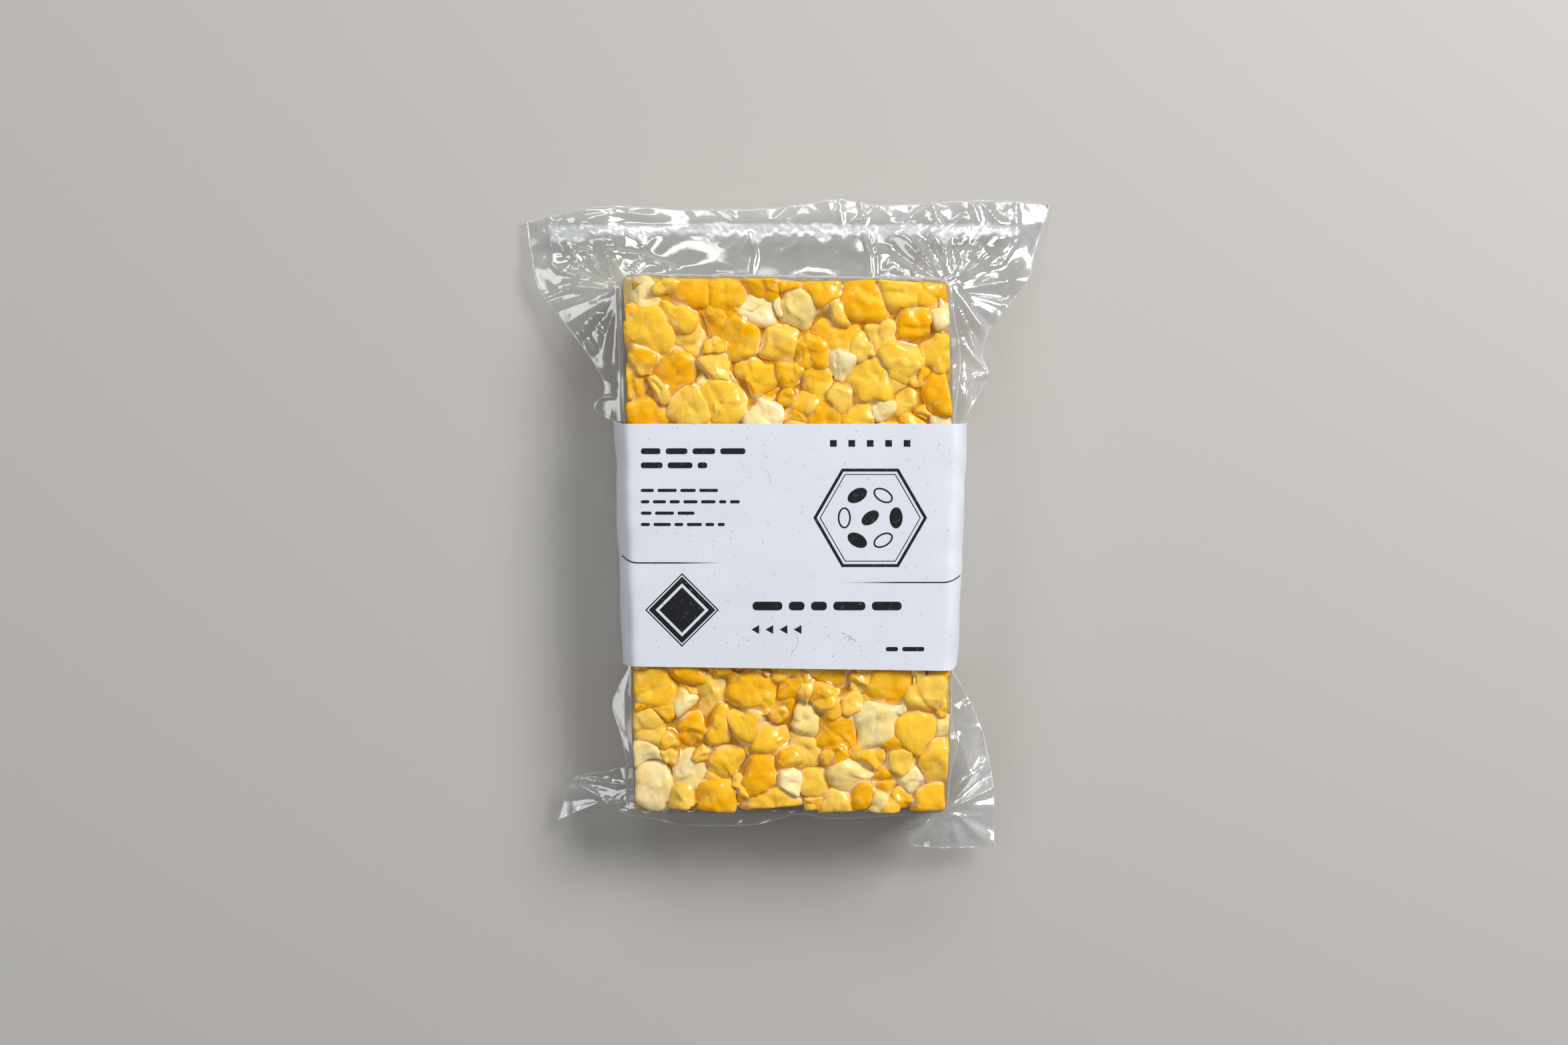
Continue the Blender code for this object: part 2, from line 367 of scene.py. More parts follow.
def bean_surface(bean, beans, ball, end, settings):
    """The points of one bean, pressed by its neighbours and the walls, with its lumps and creases."""
    outward = bean.place / np.array(HALF)
    outward = np.where(abs(outward) == abs(outward).max(), np.sign(outward), 0)
    directions = ball + 0.5 * outward            # more points on the side that shows
    directions /= np.linalg.norm(directions, axis=1)[:, None]
    planes = list(bean.facets)
    for other in beans:
        away = other.place - bean.place
        gap = np.linalg.norm(away)
        if other is not bean and gap < 1.6 * (bean.size + other.size):
            meet = (gap ** 2 + bean.size ** 2 - other.size ** 2) / (2 * gap)
            over = settings.tuck
            if other.sunk > bean.sunk:
                over = settings.overlap + settings.lap * (other.sunk - bean.sunk)
            planes.append((away, max(meet, 0.3 * bean.size) + over))
    own = soft_reach(directions, planes, bean.roundness)
    if bean.up:
        face = soft_reach(directions, [face_plane(bean)], 1)
        own = (own ** -settings.doming + face ** -settings.doming) ** (-1 / settings.doming)
    wall = soft_reach(directions, walls_of(bean, end), settings.squareness)
    sharp = settings.squareness
    radius = (own ** -sharp + wall ** -sharp) ** (-1 / sharp)
    points = bean.place + directions * radius[:, None]
    for i, (p, d) in enumerate(zip(points, directions)):
        at = Vector(p) / MM
        free = 1 if own[i] < wall[i] else 0.4
        lump = 0.90 * noise.noise(at / 4.6) + 0.46 * noise.noise(at / 2.1) + 0.12 * noise.noise(at / 0.9)
        if bean.crease is not None:
            across = (p - bean.place) @ (math.cos(bean.crease), math.sin(bean.crease), 0)
            lump -= 0.5 * math.exp(-((across + 0.8 * MM) / (0.7 * MM)) ** 2)
        points[i] = p + d * lump * free * MM
        inside = min(HALF.x - abs(p[0]), HALF.y - abs(p[1])) / MM
        shift = noise.noise_vector(at / settings.bend_scale) + 0.28 * noise.noise_vector(at / 2.3)
        points[i][:2] += np.array(shift[:2]) * settings.bend * smooth(0, 5, inside)
        if SLEEVE_LOW.y + 3.5 * MM < points[i][1] < SLEEVE_HIGH.y - 3.5 * MM:
            points[i][0] = max(1.5 * MM - HALF.x, min(HALF.x - 1.5 * MM, points[i][0]))
    return points


def kind_of(bean, settings):
    """Which of KINDS a bean is."""
    if bean.lot < settings.cream_share:
        return 2
    if bean.size < 0.66 * settings.bean_half:
        return 3
    return 1 if bean.lot < settings.cream_share + settings.pale_share else 0


def ball_of(cuts):
    """Directions and faces of a round ball of even quads."""
    bpy.ops.mesh.primitive_cube_add(size=2)
    ball = bpy.context.object
    bpy.ops.object.mode_set(mode="EDIT")
    bpy.ops.mesh.subdivide(number_cuts=cuts)
    bpy.ops.object.mode_set(mode="OBJECT")
    corners = np.tan(np.array([v.co for v in ball.data.vertices]) * math.pi / 4)
    faces = np.array([p.vertices[:] for p in ball.data.polygons])
    bpy.data.objects.remove(ball)
    return corners / np.linalg.norm(corners, axis=1)[:, None], faces


def press_beans(settings):
    """Makes one piece of each kind of bean."""
    balls = {True: ball_of(settings.bean_cuts), False: ball_of(settings.chip_cuts)}
    lots = [{"points": [], "faces": [], "tone": []} for _ in KINDS]
    for end in (1, -1):
        beans = beans_of_end(settings, end)
        for bean in beans:
            ball, corners = balls[bean.up == 1 and bean.size > 0.7 * settings.bean_half]
            lot = lots[kind_of(bean, settings)]
            lot["faces"].append(corners + sum(len(p) for p in lot["points"]))
            lot["points"].append(warp_all(bean_surface(bean, beans, ball, end, settings)))
            lot["tone"].append(np.full(len(ball), bean.tone))
    skin = bean_skin()
    for name, lot in zip(KINDS, lots):
        faces = np.concatenate(lot["faces"]).tolist()
        piece = new_piece(name, np.concatenate(lot["points"]), faces)
        remember(piece, "tone", np.concatenate(lot["tone"]))
        piece.data.materials.append(bean_material(name, settings, skin))


def bean_skin():
    """Shader group for moist cooked beans: an even body, hazed with mould threads at its rim and deeper
    below that, darkened by painted shade the deeper it lies below the film, and fine bumps."""
    colours = ("Body", "Light", "Deep Shade", "Threads")
    tree, given, wanted = new_group(
        "bean_skin", [(c, "Color") for c in colours] + [("Thread Share", "Float")],
        [("Color", "Color"), ("Height", "Float")])
    depth, tone = own_value(tree, "depth"), own_value(tree, "tone")
    patch = maths(tree, "MULTIPLY_ADD", tone, 0.34)
    patch.node.inputs[2].default_value = -0.17
    patch = maths(tree, "ADD", patch, own_noise(tree, 210, 4, 0.6))
    patch = ramp(tree, [(0.37, (0, 0, 0)), (0.63, (1, 1, 1))], patch)
    colour = mix_colours(tree, patch, given["Body"], given["Light"])
    speck = ramp(tree, [(0.36, (0.86, 0.82, 0.74)), (0.60, (1, 1, 1))], own_noise(tree, 1300, 3, 0.6))
    colour = mix_colours(tree, 0.5, colour, speck, "MULTIPLY")
    # painted shade: the deeper a point lies below the film, the more it turns to the deep colour
    shade = ramp(tree, [(0.40, (0, 0, 0)), (0.95, (1, 1, 1))], depth)
    colour = mix_colours(tree, maths(tree, "MULTIPLY", shade, 0.7), colour, given["Deep Shade"])
    veil = ramp(tree, [(0.46, (0.02, 0.02, 0.02)), (0.60, (1, 1, 1))], own_noise(tree, 150, 4, 0.65))
    rim = ramp(tree, [
        (0.03, (0, 0, 0)), (0.26, (1, 1, 1)), (0.7, (0.9, 0.9, 0.9)), (1.0, (0.45, 0.45, 0.45)),
    ], depth)
    share = maths(tree, "MULTIPLY", maths(tree, "MULTIPLY", rim, veil), given["Thread Share"])
    join(tree, mix_colours(tree, share, colour, given["Threads"]), wanted["Color"])
    join(tree, own_noise(tree, 900, 3), wanted["Height"])
    return tree


def bean_material(name, settings, skin):
    """One kind of bean, with its own colours and the colour of its painted shade."""
    body, light, deep_shade = {
        "golden_beans": (settings.gold, settings.gold_light, settings.crevice_shade),
        "pale_beans": (settings.pale, settings.gold_light, settings.crevice_shade),
        "cream_beans": (settings.cream, settings.cream_light, settings.cream_shade),
        "bean_chips": (settings.gold, settings.pale, settings.crevice_shade),
    }[name]
    material, tree, output = new_material(name)
    looks = place_group(tree, skin, {
        "Body": body, "Light": light, "Deep Shade": deep_shade, "Threads": settings.threads,
        "Thread Share": settings.thread_share,
    })
    shader = node(tree, "BsdfPrincipled", {
        "Roughness": 0.45, "Subsurface Weight": 0.18, "Subsurface Scale": 0.002,
        "Subsurface Radius": (1.0, 0.75, 0.25), "Specular IOR Level": 0.07,
    })
    join(tree, looks["Color"], shader.inputs["Base Color"])
    bump = node(tree, "Bump", {"Strength": 0.2, "Distance": 0.0003})
    join(tree, looks["Height"], bump.inputs["Height"])
    join(tree, bump.outputs["Normal"], shader.inputs["Normal"])
    join(tree, shader.outputs["BSDF"], output.inputs["Surface"])
    return material


# ---------------------------------------------------------------- mould threads and drawn film

def steps_between(low, high, size):
    """Even steps from low up to high, with both ends."""
    count = max(1, round((high - low) / size))
    return [low + (high - low) * i / count for i in range(count + 1)]


def box_grid(half, radius, step, hidden_step):
    """Points and quads of a closed box with rounded edges, and the outward direction at each point."""
    def lines(extent, stops, sizes):
        made = [-extent, -extent + 0.35 * radius]
        for low, high, size in zip(stops, stops[1:], sizes):
            made += steps_between(low, high, size)[:-1]
        return made + [stops[-1], extent - 0.35 * radius, extent]

    inner = half - Vector((radius,) * 3)
    xs = lines(half.x, [-inner.x, inner.x], [step])
    ys = lines(
        half.y,
        [-inner.y, SLEEVE_LOW.y + SLEEVE_REACH / 2, SLEEVE_HIGH.y - SLEEVE_REACH / 2, inner.y],
        [step, hidden_step, step],
    )
    zs = lines(half.z, [-inner.z, inner.z], [step])
    index, points, faces = {}, [], []

    def corner(i, j, k):
        if (i, j, k) not in index:
            index[i, j, k] = len(points)
            points.append(Vector((xs[i], ys[j], zs[k])))
        return index[i, j, k]

    def side(rows, columns, place, flip):
        for a in range(rows):
            for b in range(columns):
                quad = [corner(*place(*c)) for c in ((a, b), (a + 1, b), (a + 1, b + 1), (a, b + 1))]
                faces.append(quad[::-1] if flip else quad)

    nx, ny, nz = len(xs) - 1, len(ys) - 1, len(zs) - 1
    side(nx, ny, lambda a, b: (a, b, nz), False)
    side(nx, ny, lambda a, b: (a, b, 0), True)
    side(nx, nz, lambda a, b: (a, 0, b), False)
    side(nx, nz, lambda a, b: (a, ny, b), True)
    side(ny, nz, lambda a, b: (nx, a, b), False)
    side(ny, nz, lambda a, b: (0, a, b), True)
    outward = []
    for i, p in enumerate(points):
        core = Vector([max(-r, min(r, c)) for c, r in zip(p, inner)])
        outward.append((p - core).normalized())
        points[i] = core + outward[-1] * radius
    return points, faces, outward


def tree_of(*names):
    """A search tree over these pieces."""
    points, faces = [], []
    for name in names:
        mesh = bpy.data.objects[name].data
        start = len(points)
        points += [v.co.copy() for v in mesh.vertices]
        faces += [[start + i for i in p.vertices] for p in mesh.polygons]
    return BVHTree.FromPolygons(points, faces)


def stretched_over(height, faces, rounds, pull):
    """A skin over what stands at these heights: it touches the highest places and sags between them."""
    pairs = np.array([(a, b) for f in faces for a, b in zip(f, f[1:] + f[:1])])
    a, b = np.concatenate([pairs[:, 0], pairs[:, 1]]), np.concatenate([pairs[:, 1], pairs[:, 0]])
    degree = np.bincount(a, minlength=len(height))
    skin = height.copy()
    for _ in range(rounds):
        mean = np.bincount(a, weights=skin[b], minlength=len(skin)) / degree
        skin = np.maximum(height, mean - pull)
    return skin


def wrap_beans(settings):
    """Draws the film over the beans, fills the hollows below it with mould threads, and tells each bean
    how deep it lies under the film."""
    points, faces, outward = box_grid(HALF, EDGE, settings.skin_step, 5 * MM)
    tree = tree_of(*KINDS)
    lift = 3 * MM
    height = np.full(len(points), -settings.deepest)
    for i, (p, o) in enumerate(zip(points, outward)):
        hit = tree.ray_cast(warp(p + o * lift), -o, lift + settings.deepest)
        if hit[0] is not None:
            height[i] = lift - hit[3]
        if SLEEVE_LOW.y + 2 * MM < p.y < SLEEVE_HIGH.y - 2 * MM:
            height[i] = -0.2 * MM
    film = stretched_over(height, faces, settings.film_rounds, settings.vacuum)
    fill = np.empty(len(points))
    for i, p in enumerate(points):
        at = p / MM
        patchy = 0.5 + 0.5 * noise.noise(at / 5.5) + 0.25 * noise.noise(at / 1.7)
        fill[i] = film[i] - settings.fill_depth * (0.55 + 0.9 * patchy)
    placed = [warp(p + o * float(f)) for p, o, f in zip(points, outward, fill)]
    threads = new_piece("mould_threads", placed, faces, ["tempeh_cake"])
    remember(threads, "valley", np.clip(-fill / settings.deepest, 0, 1))
    threads.data.materials.append(threads_material(settings))

    placed = [warp(p + o * float(f + settings.film_clear)) for p, o, f in zip(points, outward, film)]
    skin = new_piece("drawn_film", placed, faces)
    gap = even_step(0.35 * MM, 1.3 * MM, film - height)
    patch = [smooth(-0.05, 0.25, noise.noise(p / (6 * MM))) for p in points]
    remember(skin, "milk_and_sheen", settings.bridge_milk * gap * np.array(patch) * (height > -settings.deepest))
    remember(skin, "tint", np.zeros(len(points)))
    skin.data.materials.append(film_material("drawn_film", settings, settings.cling_gloss, 0.14, 0.0, True))

    cover = tree_of("drawn_film")
    for name in KINDS:
        piece = bpy.data.objects[name]
        depths = [cover.find_nearest(v.co)[3] - settings.film_clear for v in piece.data.vertices]
        remember(piece, "depth", np.clip(np.array(depths) / (1.2 * MM), 0, 1))


def threads_material(settings):
    """The mould threads that knit the beans: pale at the top, with painted shade that turns them darker and warmer
    where the hollows are deep.
    """
    material, tree, output = new_material("mould_threads")
    valley = own_value(tree, "valley")
    cloud = own_noise(tree, 210, 4, 0.6)
    # painted shade: the threads darken from pale to the hollow and crevice colours as the hollow deepens, broken up by
    # noise
    deep_shade = maths(tree, "ADD", maths(tree, "MULTIPLY", valley, 0.7), maths(tree, "MULTIPLY", cloud, 0.6))
    colour = ramp(tree, [
        (0.54, settings.threads), (0.69, settings.hollow_shade), (0.86, settings.crevice_shade),
    ], deep_shade)
    shader = node(tree, "BsdfPrincipled", {
        "Roughness": 0.5, "Subsurface Weight": 0.2, "Subsurface Scale": 0.002,
        "Subsurface Radius": (1.0, 0.8, 0.4), "Specular IOR Level": 0.12,
    })
    join(tree, colour, shader.inputs["Base Color"])
    bump = node(tree, "Bump", {"Strength": 0.3, "Distance": 0.0003})
    join(tree, own_noise(tree, 1300, 4), bump.inputs["Height"])
    join(tree, bump.outputs["Normal"], shader.inputs["Normal"])
    join(tree, shader.outputs["BSDF"], output.inputs["Surface"])
    return material


def film_looks():
    """Shader group for clear film: its tint, how far it is whitened (on the margins partly painted highlights and
    sheen), where it shines, and its ripples.
    """
    tree, given, wanted = new_group(
        "film_looks", [("Film", "Color"), ("Tint", "Color"), ("Milk Strength", "Float"), ("Haze", "Float")],
        [("Color", "Color"), ("Milk", "Float"), ("Shine", "Color"), ("Height", "Float")])
    join(tree, mix_colours(tree, own_value(tree, "tint"), given["Film"], given["Tint"]), wanted["Color"])
    patchy = ramp(tree, [(0.30, (0.35, 0.35, 0.35)), (0.62, (1, 1, 1))], own_noise(tree, 800, 3, 0.6))
    share = maths(tree, "MULTIPLY", own_value(tree, "milk_and_sheen"), patchy)
    share = maths(tree, "MULTIPLY", share, given["Milk Strength"])
    share = maths(tree, "ADD", share, given["Haze"])
    join(tree, maths(tree, "MINIMUM", share, 0.9), wanted["Milk"])
    shine = ramp(tree, [(0.45, (0.03, 0.03, 0.03)), (0.60, (1, 1, 1))], own_noise(tree, 330, 3, 0.6))
    join(tree, shine, wanted["Shine"])
    join(tree, own_noise(tree, 420, 3, 0.5), wanted["Height"])
    return tree


def film_material(name, settings, gloss_share, blur, haze_share, uneven=False):
    """Clear film: a thin gloss over what lies behind it, whitened where the piece says so, which on the margins
    includes painted highlights and painted sheen. Uneven film shines in patches."""
    material, tree, output = new_material(name)
    group = bpy.data.node_groups.get("film_looks") or film_looks()
    looks = place_group(tree, group, {
        "Film": settings.film_colour, "Tint": settings.film_tint, "Milk Strength": settings.milk_strength,
        "Haze": haze_share,
    })
    bump = node(tree, "Bump", {"Strength": settings.film_bump, "Distance": 0.0004})
    join(tree, looks["Height"], bump.inputs["Height"])
    clear = node(tree, "BsdfTransparent", {"Color": (0.985, 0.99, 0.99, 1)})
    haze = node(tree, "BsdfPrincipled", {"Roughness": 0.35})
    join(tree, looks["Color"], haze.inputs["Base Color"])
    body = node(tree, "MixShader")
    join(tree, looks["Milk"], body.inputs[0])
    join(tree, clear.outputs[0], body.inputs[1])
    join(tree, haze.outputs[0], body.inputs[2])
    gloss = node(tree, "BsdfGlossy", {"Color": (1, 1, 1, 1), "Roughness": blur})
    aslant = node(tree, "LayerWeight", {"Blend": 0.5})
    for shader in (haze, gloss, aslant):
        join(tree, bump.outputs["Normal"], shader.inputs["Normal"])
    mirror = maths(tree, "MULTIPLY_ADD", maths(tree, "POWER", aslant.outputs["Facing"], 5), 1 - gloss_share)
    mirror.node.inputs[2].default_value = gloss_share
    if uneven:
        mirror = maths(tree, "MULTIPLY", mirror, looks["Shine"])
    surface = node(tree, "MixShader")
    join(tree, mirror, surface.inputs[0])
    join(tree, body.outputs[0], surface.inputs[1])
    join(tree, gloss.outputs[0], surface.inputs[2])
    join(tree, surface.outputs[0], output.inputs["Surface"])
    return material


# ---------------------------------------------------------------- the pouch's margins

# Pairs of places, anticlockwise from the sleeve's head end on the right: one on the block's outline, in
# shares of its half width and half length, and one on the pouch's cut edge, in mm. A True marks a corner.
STATIONS = (
    ((1, 0.462), (45.2, 31.6), True), ((1, 0.53), (48.8, 37.6), False), ((1, 0.62), (52.2, 44.4), False),
    ((1, 0.71), (50.7, 49.6), False), ((1, 0.79), (52.6, 56.0), False), ((1, 0.86), (57.8, 62.5), False),
    ((1, 0.91), (63.2, 69.8), False), ((1, 0.96), (65.0, 77.0), False), ((1, 1), (69.4, 89.6), True),
    ((0.84, 1), (54.0, 90.6), False), ((0.56, 1), (36.9, 89.8), False), ((0.38, 1), (23.5, 88.9), False),
    ((0.25, 1), (13.4, 90.6), False), ((-0.05, 1), (-3.0, 88.2), False), ((-0.4, 1), (-25.8, 87.8), False),
    ((-0.62, 1), (-38.4, 88.8), False), ((-0.84, 1), (-52.0, 88.4), False), ((-1, 1), (-68.8, 85.0), True),
    ((-1, 0.96), (-67.4, 76.0), False), ((-1, 0.91), (-65.2, 67.0), False), ((-1, 0.84), (-58.8, 58.4), False),
    ((-1, 0.76), (-52.0, 49.4), False), ((-1, 0.66), (-48.0, 42.6), False), ((-1, 0.60), (-48.0, 38.8), False),
    ((-1, 0.55), (-50.4, 36.6), False), ((-1, 0.51), (-49.4, 34.2), False), ((-1, 0.468), (-44.2, 31.6), True),
    ((-1, -0.474), (-41.4, -32.1), True), ((-1, -0.56), (-44.0, -37.0), False),
    ((-1, -0.63), (-45.6, -42.0), False), ((-1, -0.72), (-43.2, -50.0), False),
    ((-1, -0.82), (-41.8, -57.6), True), ((-1, -0.85), (-54.6, -60.2), False),
    ((-1, -0.89), (-57.6, -64.0), False), ((-1, -0.91), (-60.5, -72.5), True),
    ((-1, -0.94), (-55.4, -68.4), False), ((-1, -0.97), (-44.5, -67.2), True), ((-1, -1), (-42.3, -69.9), False),
    ((-0.84, -1), (-34.0, -71.4), False), ((-0.62, -1), (-25.0, -73.0), False),
    ((-0.24, -1), (-9.0, -72.8), False), ((0.06, -1), (2.4, -70.0), False), ((0.3, -1), (12.0, -71.2), False),
    ((0.75, -1), (30.2, -70.2), True), ((0.79, -1), (31.0, -76.2), False), ((0.86, -1), (35.0, -78.8), False),
    ((1, -1), (54.0, -79.0), True), ((1, -0.95), (53.8, -66.0), False), ((1, -0.84), (52.4, -55.0), False),
    ((1, -0.66), (48.8, -43.6), False), ((1, -0.474), (42.6, -32.1), True),
)


def beside_cake(across, along, clear):
    """A point of the block's outline, pushed out a little."""
    half_x, half_y, radius = HALF.x + clear, HALF.y + clear, EDGE + clear
    p = Vector((across * half_x, along * half_y))
    core = Vector((
        max(radius - half_x, min(half_x - radius, p.x)),
        max(radius - half_y, min(half_y - radius, p.y)),
    ))
    outward = (p - core).normalized()
    return warp((*(core + outward * radius), 0)).xy


def curve_between(places, corners, i, t):
    """A smooth curve through the places, broken where there is a corner."""
    count = len(places)
    b, c = places[i], places[(i + 1) % count]
    a = b if corners[i] else places[i - 1]
    d = c if corners[(i + 1) % count] else places[(i + 2) % count]
    into = (c - a) / 2 if not corners[i] else (c - b)
    out = (d - b) / 2 if not corners[(i + 1) % count] else (c - b)
    t2, t3 = t * t, t * t * t
    return b * (2 * t3 - 3 * t2 + 1) + into * (t3 - 2 * t2 + t) + c * (3 * t2 - 2 * t3) + out * (t3 - t2)


def margin_spokes(settings):
    """Pairs of places, beside the cake and on the cut edge, all round the pouch."""
    inside = [Vector(s[0]) for s in STATIONS]
    outside = [Vector(s[1]) * MM for s in STATIONS]
    corners = [s[2] for s in STATIONS]
    spokes = []
    for i, place in enumerate(outside):
        j = (i + 1) % len(outside)
        under_sleeve = SLEEVE_LOW.y < (place.y + outside[j].y) / 2 < SLEEVE_HIGH.y
        step = 5 * MM if under_sleeve else settings.margin_step
        count = max(2, round((outside[j] - place).length / step))
        for k in range(count):
            t = k / count
            beside = beside_cake(*inside[i].lerp(inside[j], t), 0.15 * MM)
            spokes.append((beside, curve_between(outside, corners, i, t)))
    return spokes


# Folds of the free film, in mm: half width, height, and the places that the crest runs through.
FOLDS = (
    # the head, from the left side seal to the right one
    (1.3, 0.9, ((-62.5, 86.3), (-61.9, 79), (-61.4, 73.1), (-59.6, 71.3), (-50.5, 69.5), (-44.5, 67.7))),
    (1.4, 1.1, ((-55, 76.8), (-44.5, 76.3), (-37.2, 75.4), (-31.3, 72.6), (-26.8, 69.5))),
    (1.0, 0.9, ((-44.1, 66.7), (-38.2, 73.6))),
    (1.4, 0.8, ((-38.4, 80.5), (-37.6, 75.6))),
    (1.4, 1.0, ((-57.6, 78.5), (-54.8, 74.5), (-58.5, 71.8))),
    (0.9, 0.6, ((-51.5, 75.4), (-49.8, 71.6), (-46.6, 69.2))),
    (2.2, 1.0, ((-60.5, 84.6), (-53.4, 87.4), (-45.0, 88.2))),
    (1.8, 0.9, ((-54, 84.6), (-44, 87.0), (-36, 86.2))),
    (1.2, 1.2, ((-9.6, 80.8), (-8.4, 75), (-9.5, 69.6))),
    (0.9, 0.7, ((-38.5, 69.2), (-33, 70.2), (-27, 69.4))),
    (0.9, 0.7, ((-27, 69.6), (-20, 70.6), (-14.5, 70), (-13.8, 69))),
    (0.9, 0.7, ((0, 69.2), (5, 70.8), (10, 70.4), (12.6, 69))),
    (1.0, 1.6, ((19.8, 80.6), (21.2, 76), (21.8, 69.6))),
    (0.8, 1.0, ((22.4, 80.6), (23.2, 76), (23.4, 69.8))),
    (0.9, 0.8, ((23.6, 69.4), (27.0, 71.4), (31.4, 69.6))),
    (1.2, 1.3, ((46.3, 85.7), (39.3, 81.5), (35.1, 75.9), (32.3, 69.2))),
    (0.9, 0.9, ((38.4, 79.6), (38.0, 75.4), (40.7, 71.7))),
    (1.0, 1.0, ((39.8, 77.3), (44.4, 76.8), (48.6, 76.8), (49.5, 73.1))),
    (0.9, 0.8, ((44.0, 76.6), (45.8, 73.0), (43.4, 70.2))),
    (0.9, 0.9, ((48.6, 79.6), (52.3, 75.0), (55.1, 74.0))),
    (1.3, 1.1, ((59.8, 90.6), (59.8, 79.6), (55.6, 73.1), (48.6, 72.2), (40.7, 68.0))),
    # the strip beyond the seal
    (1.3, 1.0, ((13.6, 90), (14, 84.4))),
    (1.3, 1.1, ((19.0, 90), (19.7, 84.4))),
    (1.2, 1.1, ((23.9, 89), (17.4, 84.2))),
    (1.3, 1.2, ((37.6, 89.6), (29.5, 83.8))),
    (1.2, 1.1, ((37.6, 89.6), (34.2, 84))),
    (1.2, 1.1, ((37.6, 89.6), (39.8, 84))),
    (1.3, 1.1, ((48.1, 89.8), (50, 84.4))),
    (1.3, 1.1, ((51, 89.6), (55.1, 84.4))),
    (1.5, 0.9, ((-19, 88.4), (-14, 85.4))),
    (1.6, 0.8, ((1, 88.8), (-3.4, 85))),
    # the wings beside the head
    (3.0, 1.3, ((-63.5, 64.5), (-55, 67.2), (-47.5, 66.4))),
    (1.6, 1.0, ((-53.6, 56), (-50.4, 50.4))),
    (0.8, 0.7, ((-50.6, 59.8), (-48.2, 59.9))),
    (0.8, 0.7, ((-50.6, 59.8), (-48.0, 55.2))),
    (1.0, 0.5, ((-49.2, 38.2), (-45, 38.6))),
    (2.2, 1.5, ((42.6, 66.6), (46.4, 62.4), (50.2, 56.8))),
    (1.6, 1.1, ((42.4, 65), (46.4, 57), (48.4, 51.2))),
    (1.0, 0.8, ((43.2, 62), (44.8, 55.5), (45.6, 50.6))),
    (1.8, 1.2, ((45.8, 52), (48.6, 48.4), (52.2, 44.8))),
    (1.6, 1.2, ((52.2, 44.4), (48.4, 43.6), (46.2, 39), (45.6, 33))),
    (1.6, 0.9, ((59.4, 72), (56.2, 67.4))),
    (1.8, 1.0, ((57.6, 65.6), (56.8, 60.4))),
    # the foot: the curled ear on the left, the flat one on the right
    (1.2, 1.1, ((-56, -60.9), (-42.2, -62.2))),
    (1.0, 0.5, ((-55.5, -61.4), (-47.5, -66.8))),
    (0.8, 0.6, ((-54.6, -59.9), (-46, -59.0))),
    (0.8, 0.6, ((-43.6, -69), (-40.6, -69.4))),
    (1.0, 0.9, ((-12.4, -72.4), (-9.6, -70.4))),
    (1.0, 0.9, ((-6.6, -72.6), (-2.0, -70.0))),
    (1.4, 1.3, ((41.2, -67.6), (45.2, -61.5), (50.2, -58))),
    (1.2, 1.4, ((41.6, -68.4), (47, -66.4), (53.6, -63.2))),
    (1.2, 1.0, ((31.6, -74.4), (35.5, -72.3), (37.3, -70.5), (41, -68.8))),
    (2.2, 0.8, ((42, -70), (46, -70.6), (50.4, -70.4))),
    (1.8, 1.1, ((41.6, -40.4), (44.4, -37.6), (45.4, -34.2))),
    (1.6, 1.1, ((42.2, -41.6), (44.6, -42.6), (47.4, -41))),
    (2.0, 1.1, ((43.6, -50), (46, -54), (46.6, -58))),
    (1.8, 1.0, ((50.6, -48), (51.6, -55), (50.6, -58))),
)

# Where the film is crumpled, in mm: the middle, the reach along x and y, and how badly.
CRUMPLED = (
    (-52.5, 75, 7.5, 5.5, 0.9), (-46.5, 71, 3.5, 4, 0.6), (45, 76.5, 12, 6, 0.75), (25.3, 76, 2.4, 5.6, 0.8),
    (32, 87.4, 30, 2.4, 0.35), (46.5, 40, 2.6, 5.5, 0.45), (46.5, -44, 3.5, 9, 0.4), (40, -73.5, 9, 4.5, 0.3),
    (-41, -67.5, 3.5, 3.5, 0.6), (41.5, 68.5, 4, 3, 0.8), (-60, 80.5, 4.5, 3, 0.4),
)

# Painted sheen on the free film, where it would reflect the light softly, in mm: the middle, the reach along x and y,
# and how much.
PAINTED_SHEENS = (
    (49.5, 44, 3.5, 9, 0.30), (52, 62, 5, 6, 0.16), (63, 80, 5, 8, 0.16), (50.5, -52, 3.5, 13, 0.30),
    (46, -73.5, 8, 5, 0.30), (-51, -62.5, 8, 3, 0.22), (-64, 76, 3, 10, 0.10), (-52, 66, 6, 3, 0.14),
    (-43.6, -41, 1.8, 6, 0.20), (20, 87, 45, 2.5, 0.14),
)

# Where broad folds fan out from the block's corners, in mm: the corner, the reach and the height.
FANS = ((43, 66, 30, 1.5), (-43.5, 66, 30, 1.1), (41.5, -68, 20, 1.3), (-39.5, -66, 22, 1.0))

# Where the crinkled seal sags towards the block.
DRIPS = (-38, -8.5, 9, 24, 41)


def noise_at(x, y, size, seed):
    """Noise for arrays of places, with waves about this size."""
    return np.array([noise.noise(Vector((a / size, b / size, seed))) for a, b in zip(x, y)])


def even_step(low, high, value):
    """smooth for an array."""
    t = np.clip((value - low) / (high - low), 0, 1)
    return t * t * (3 - 2 * t)


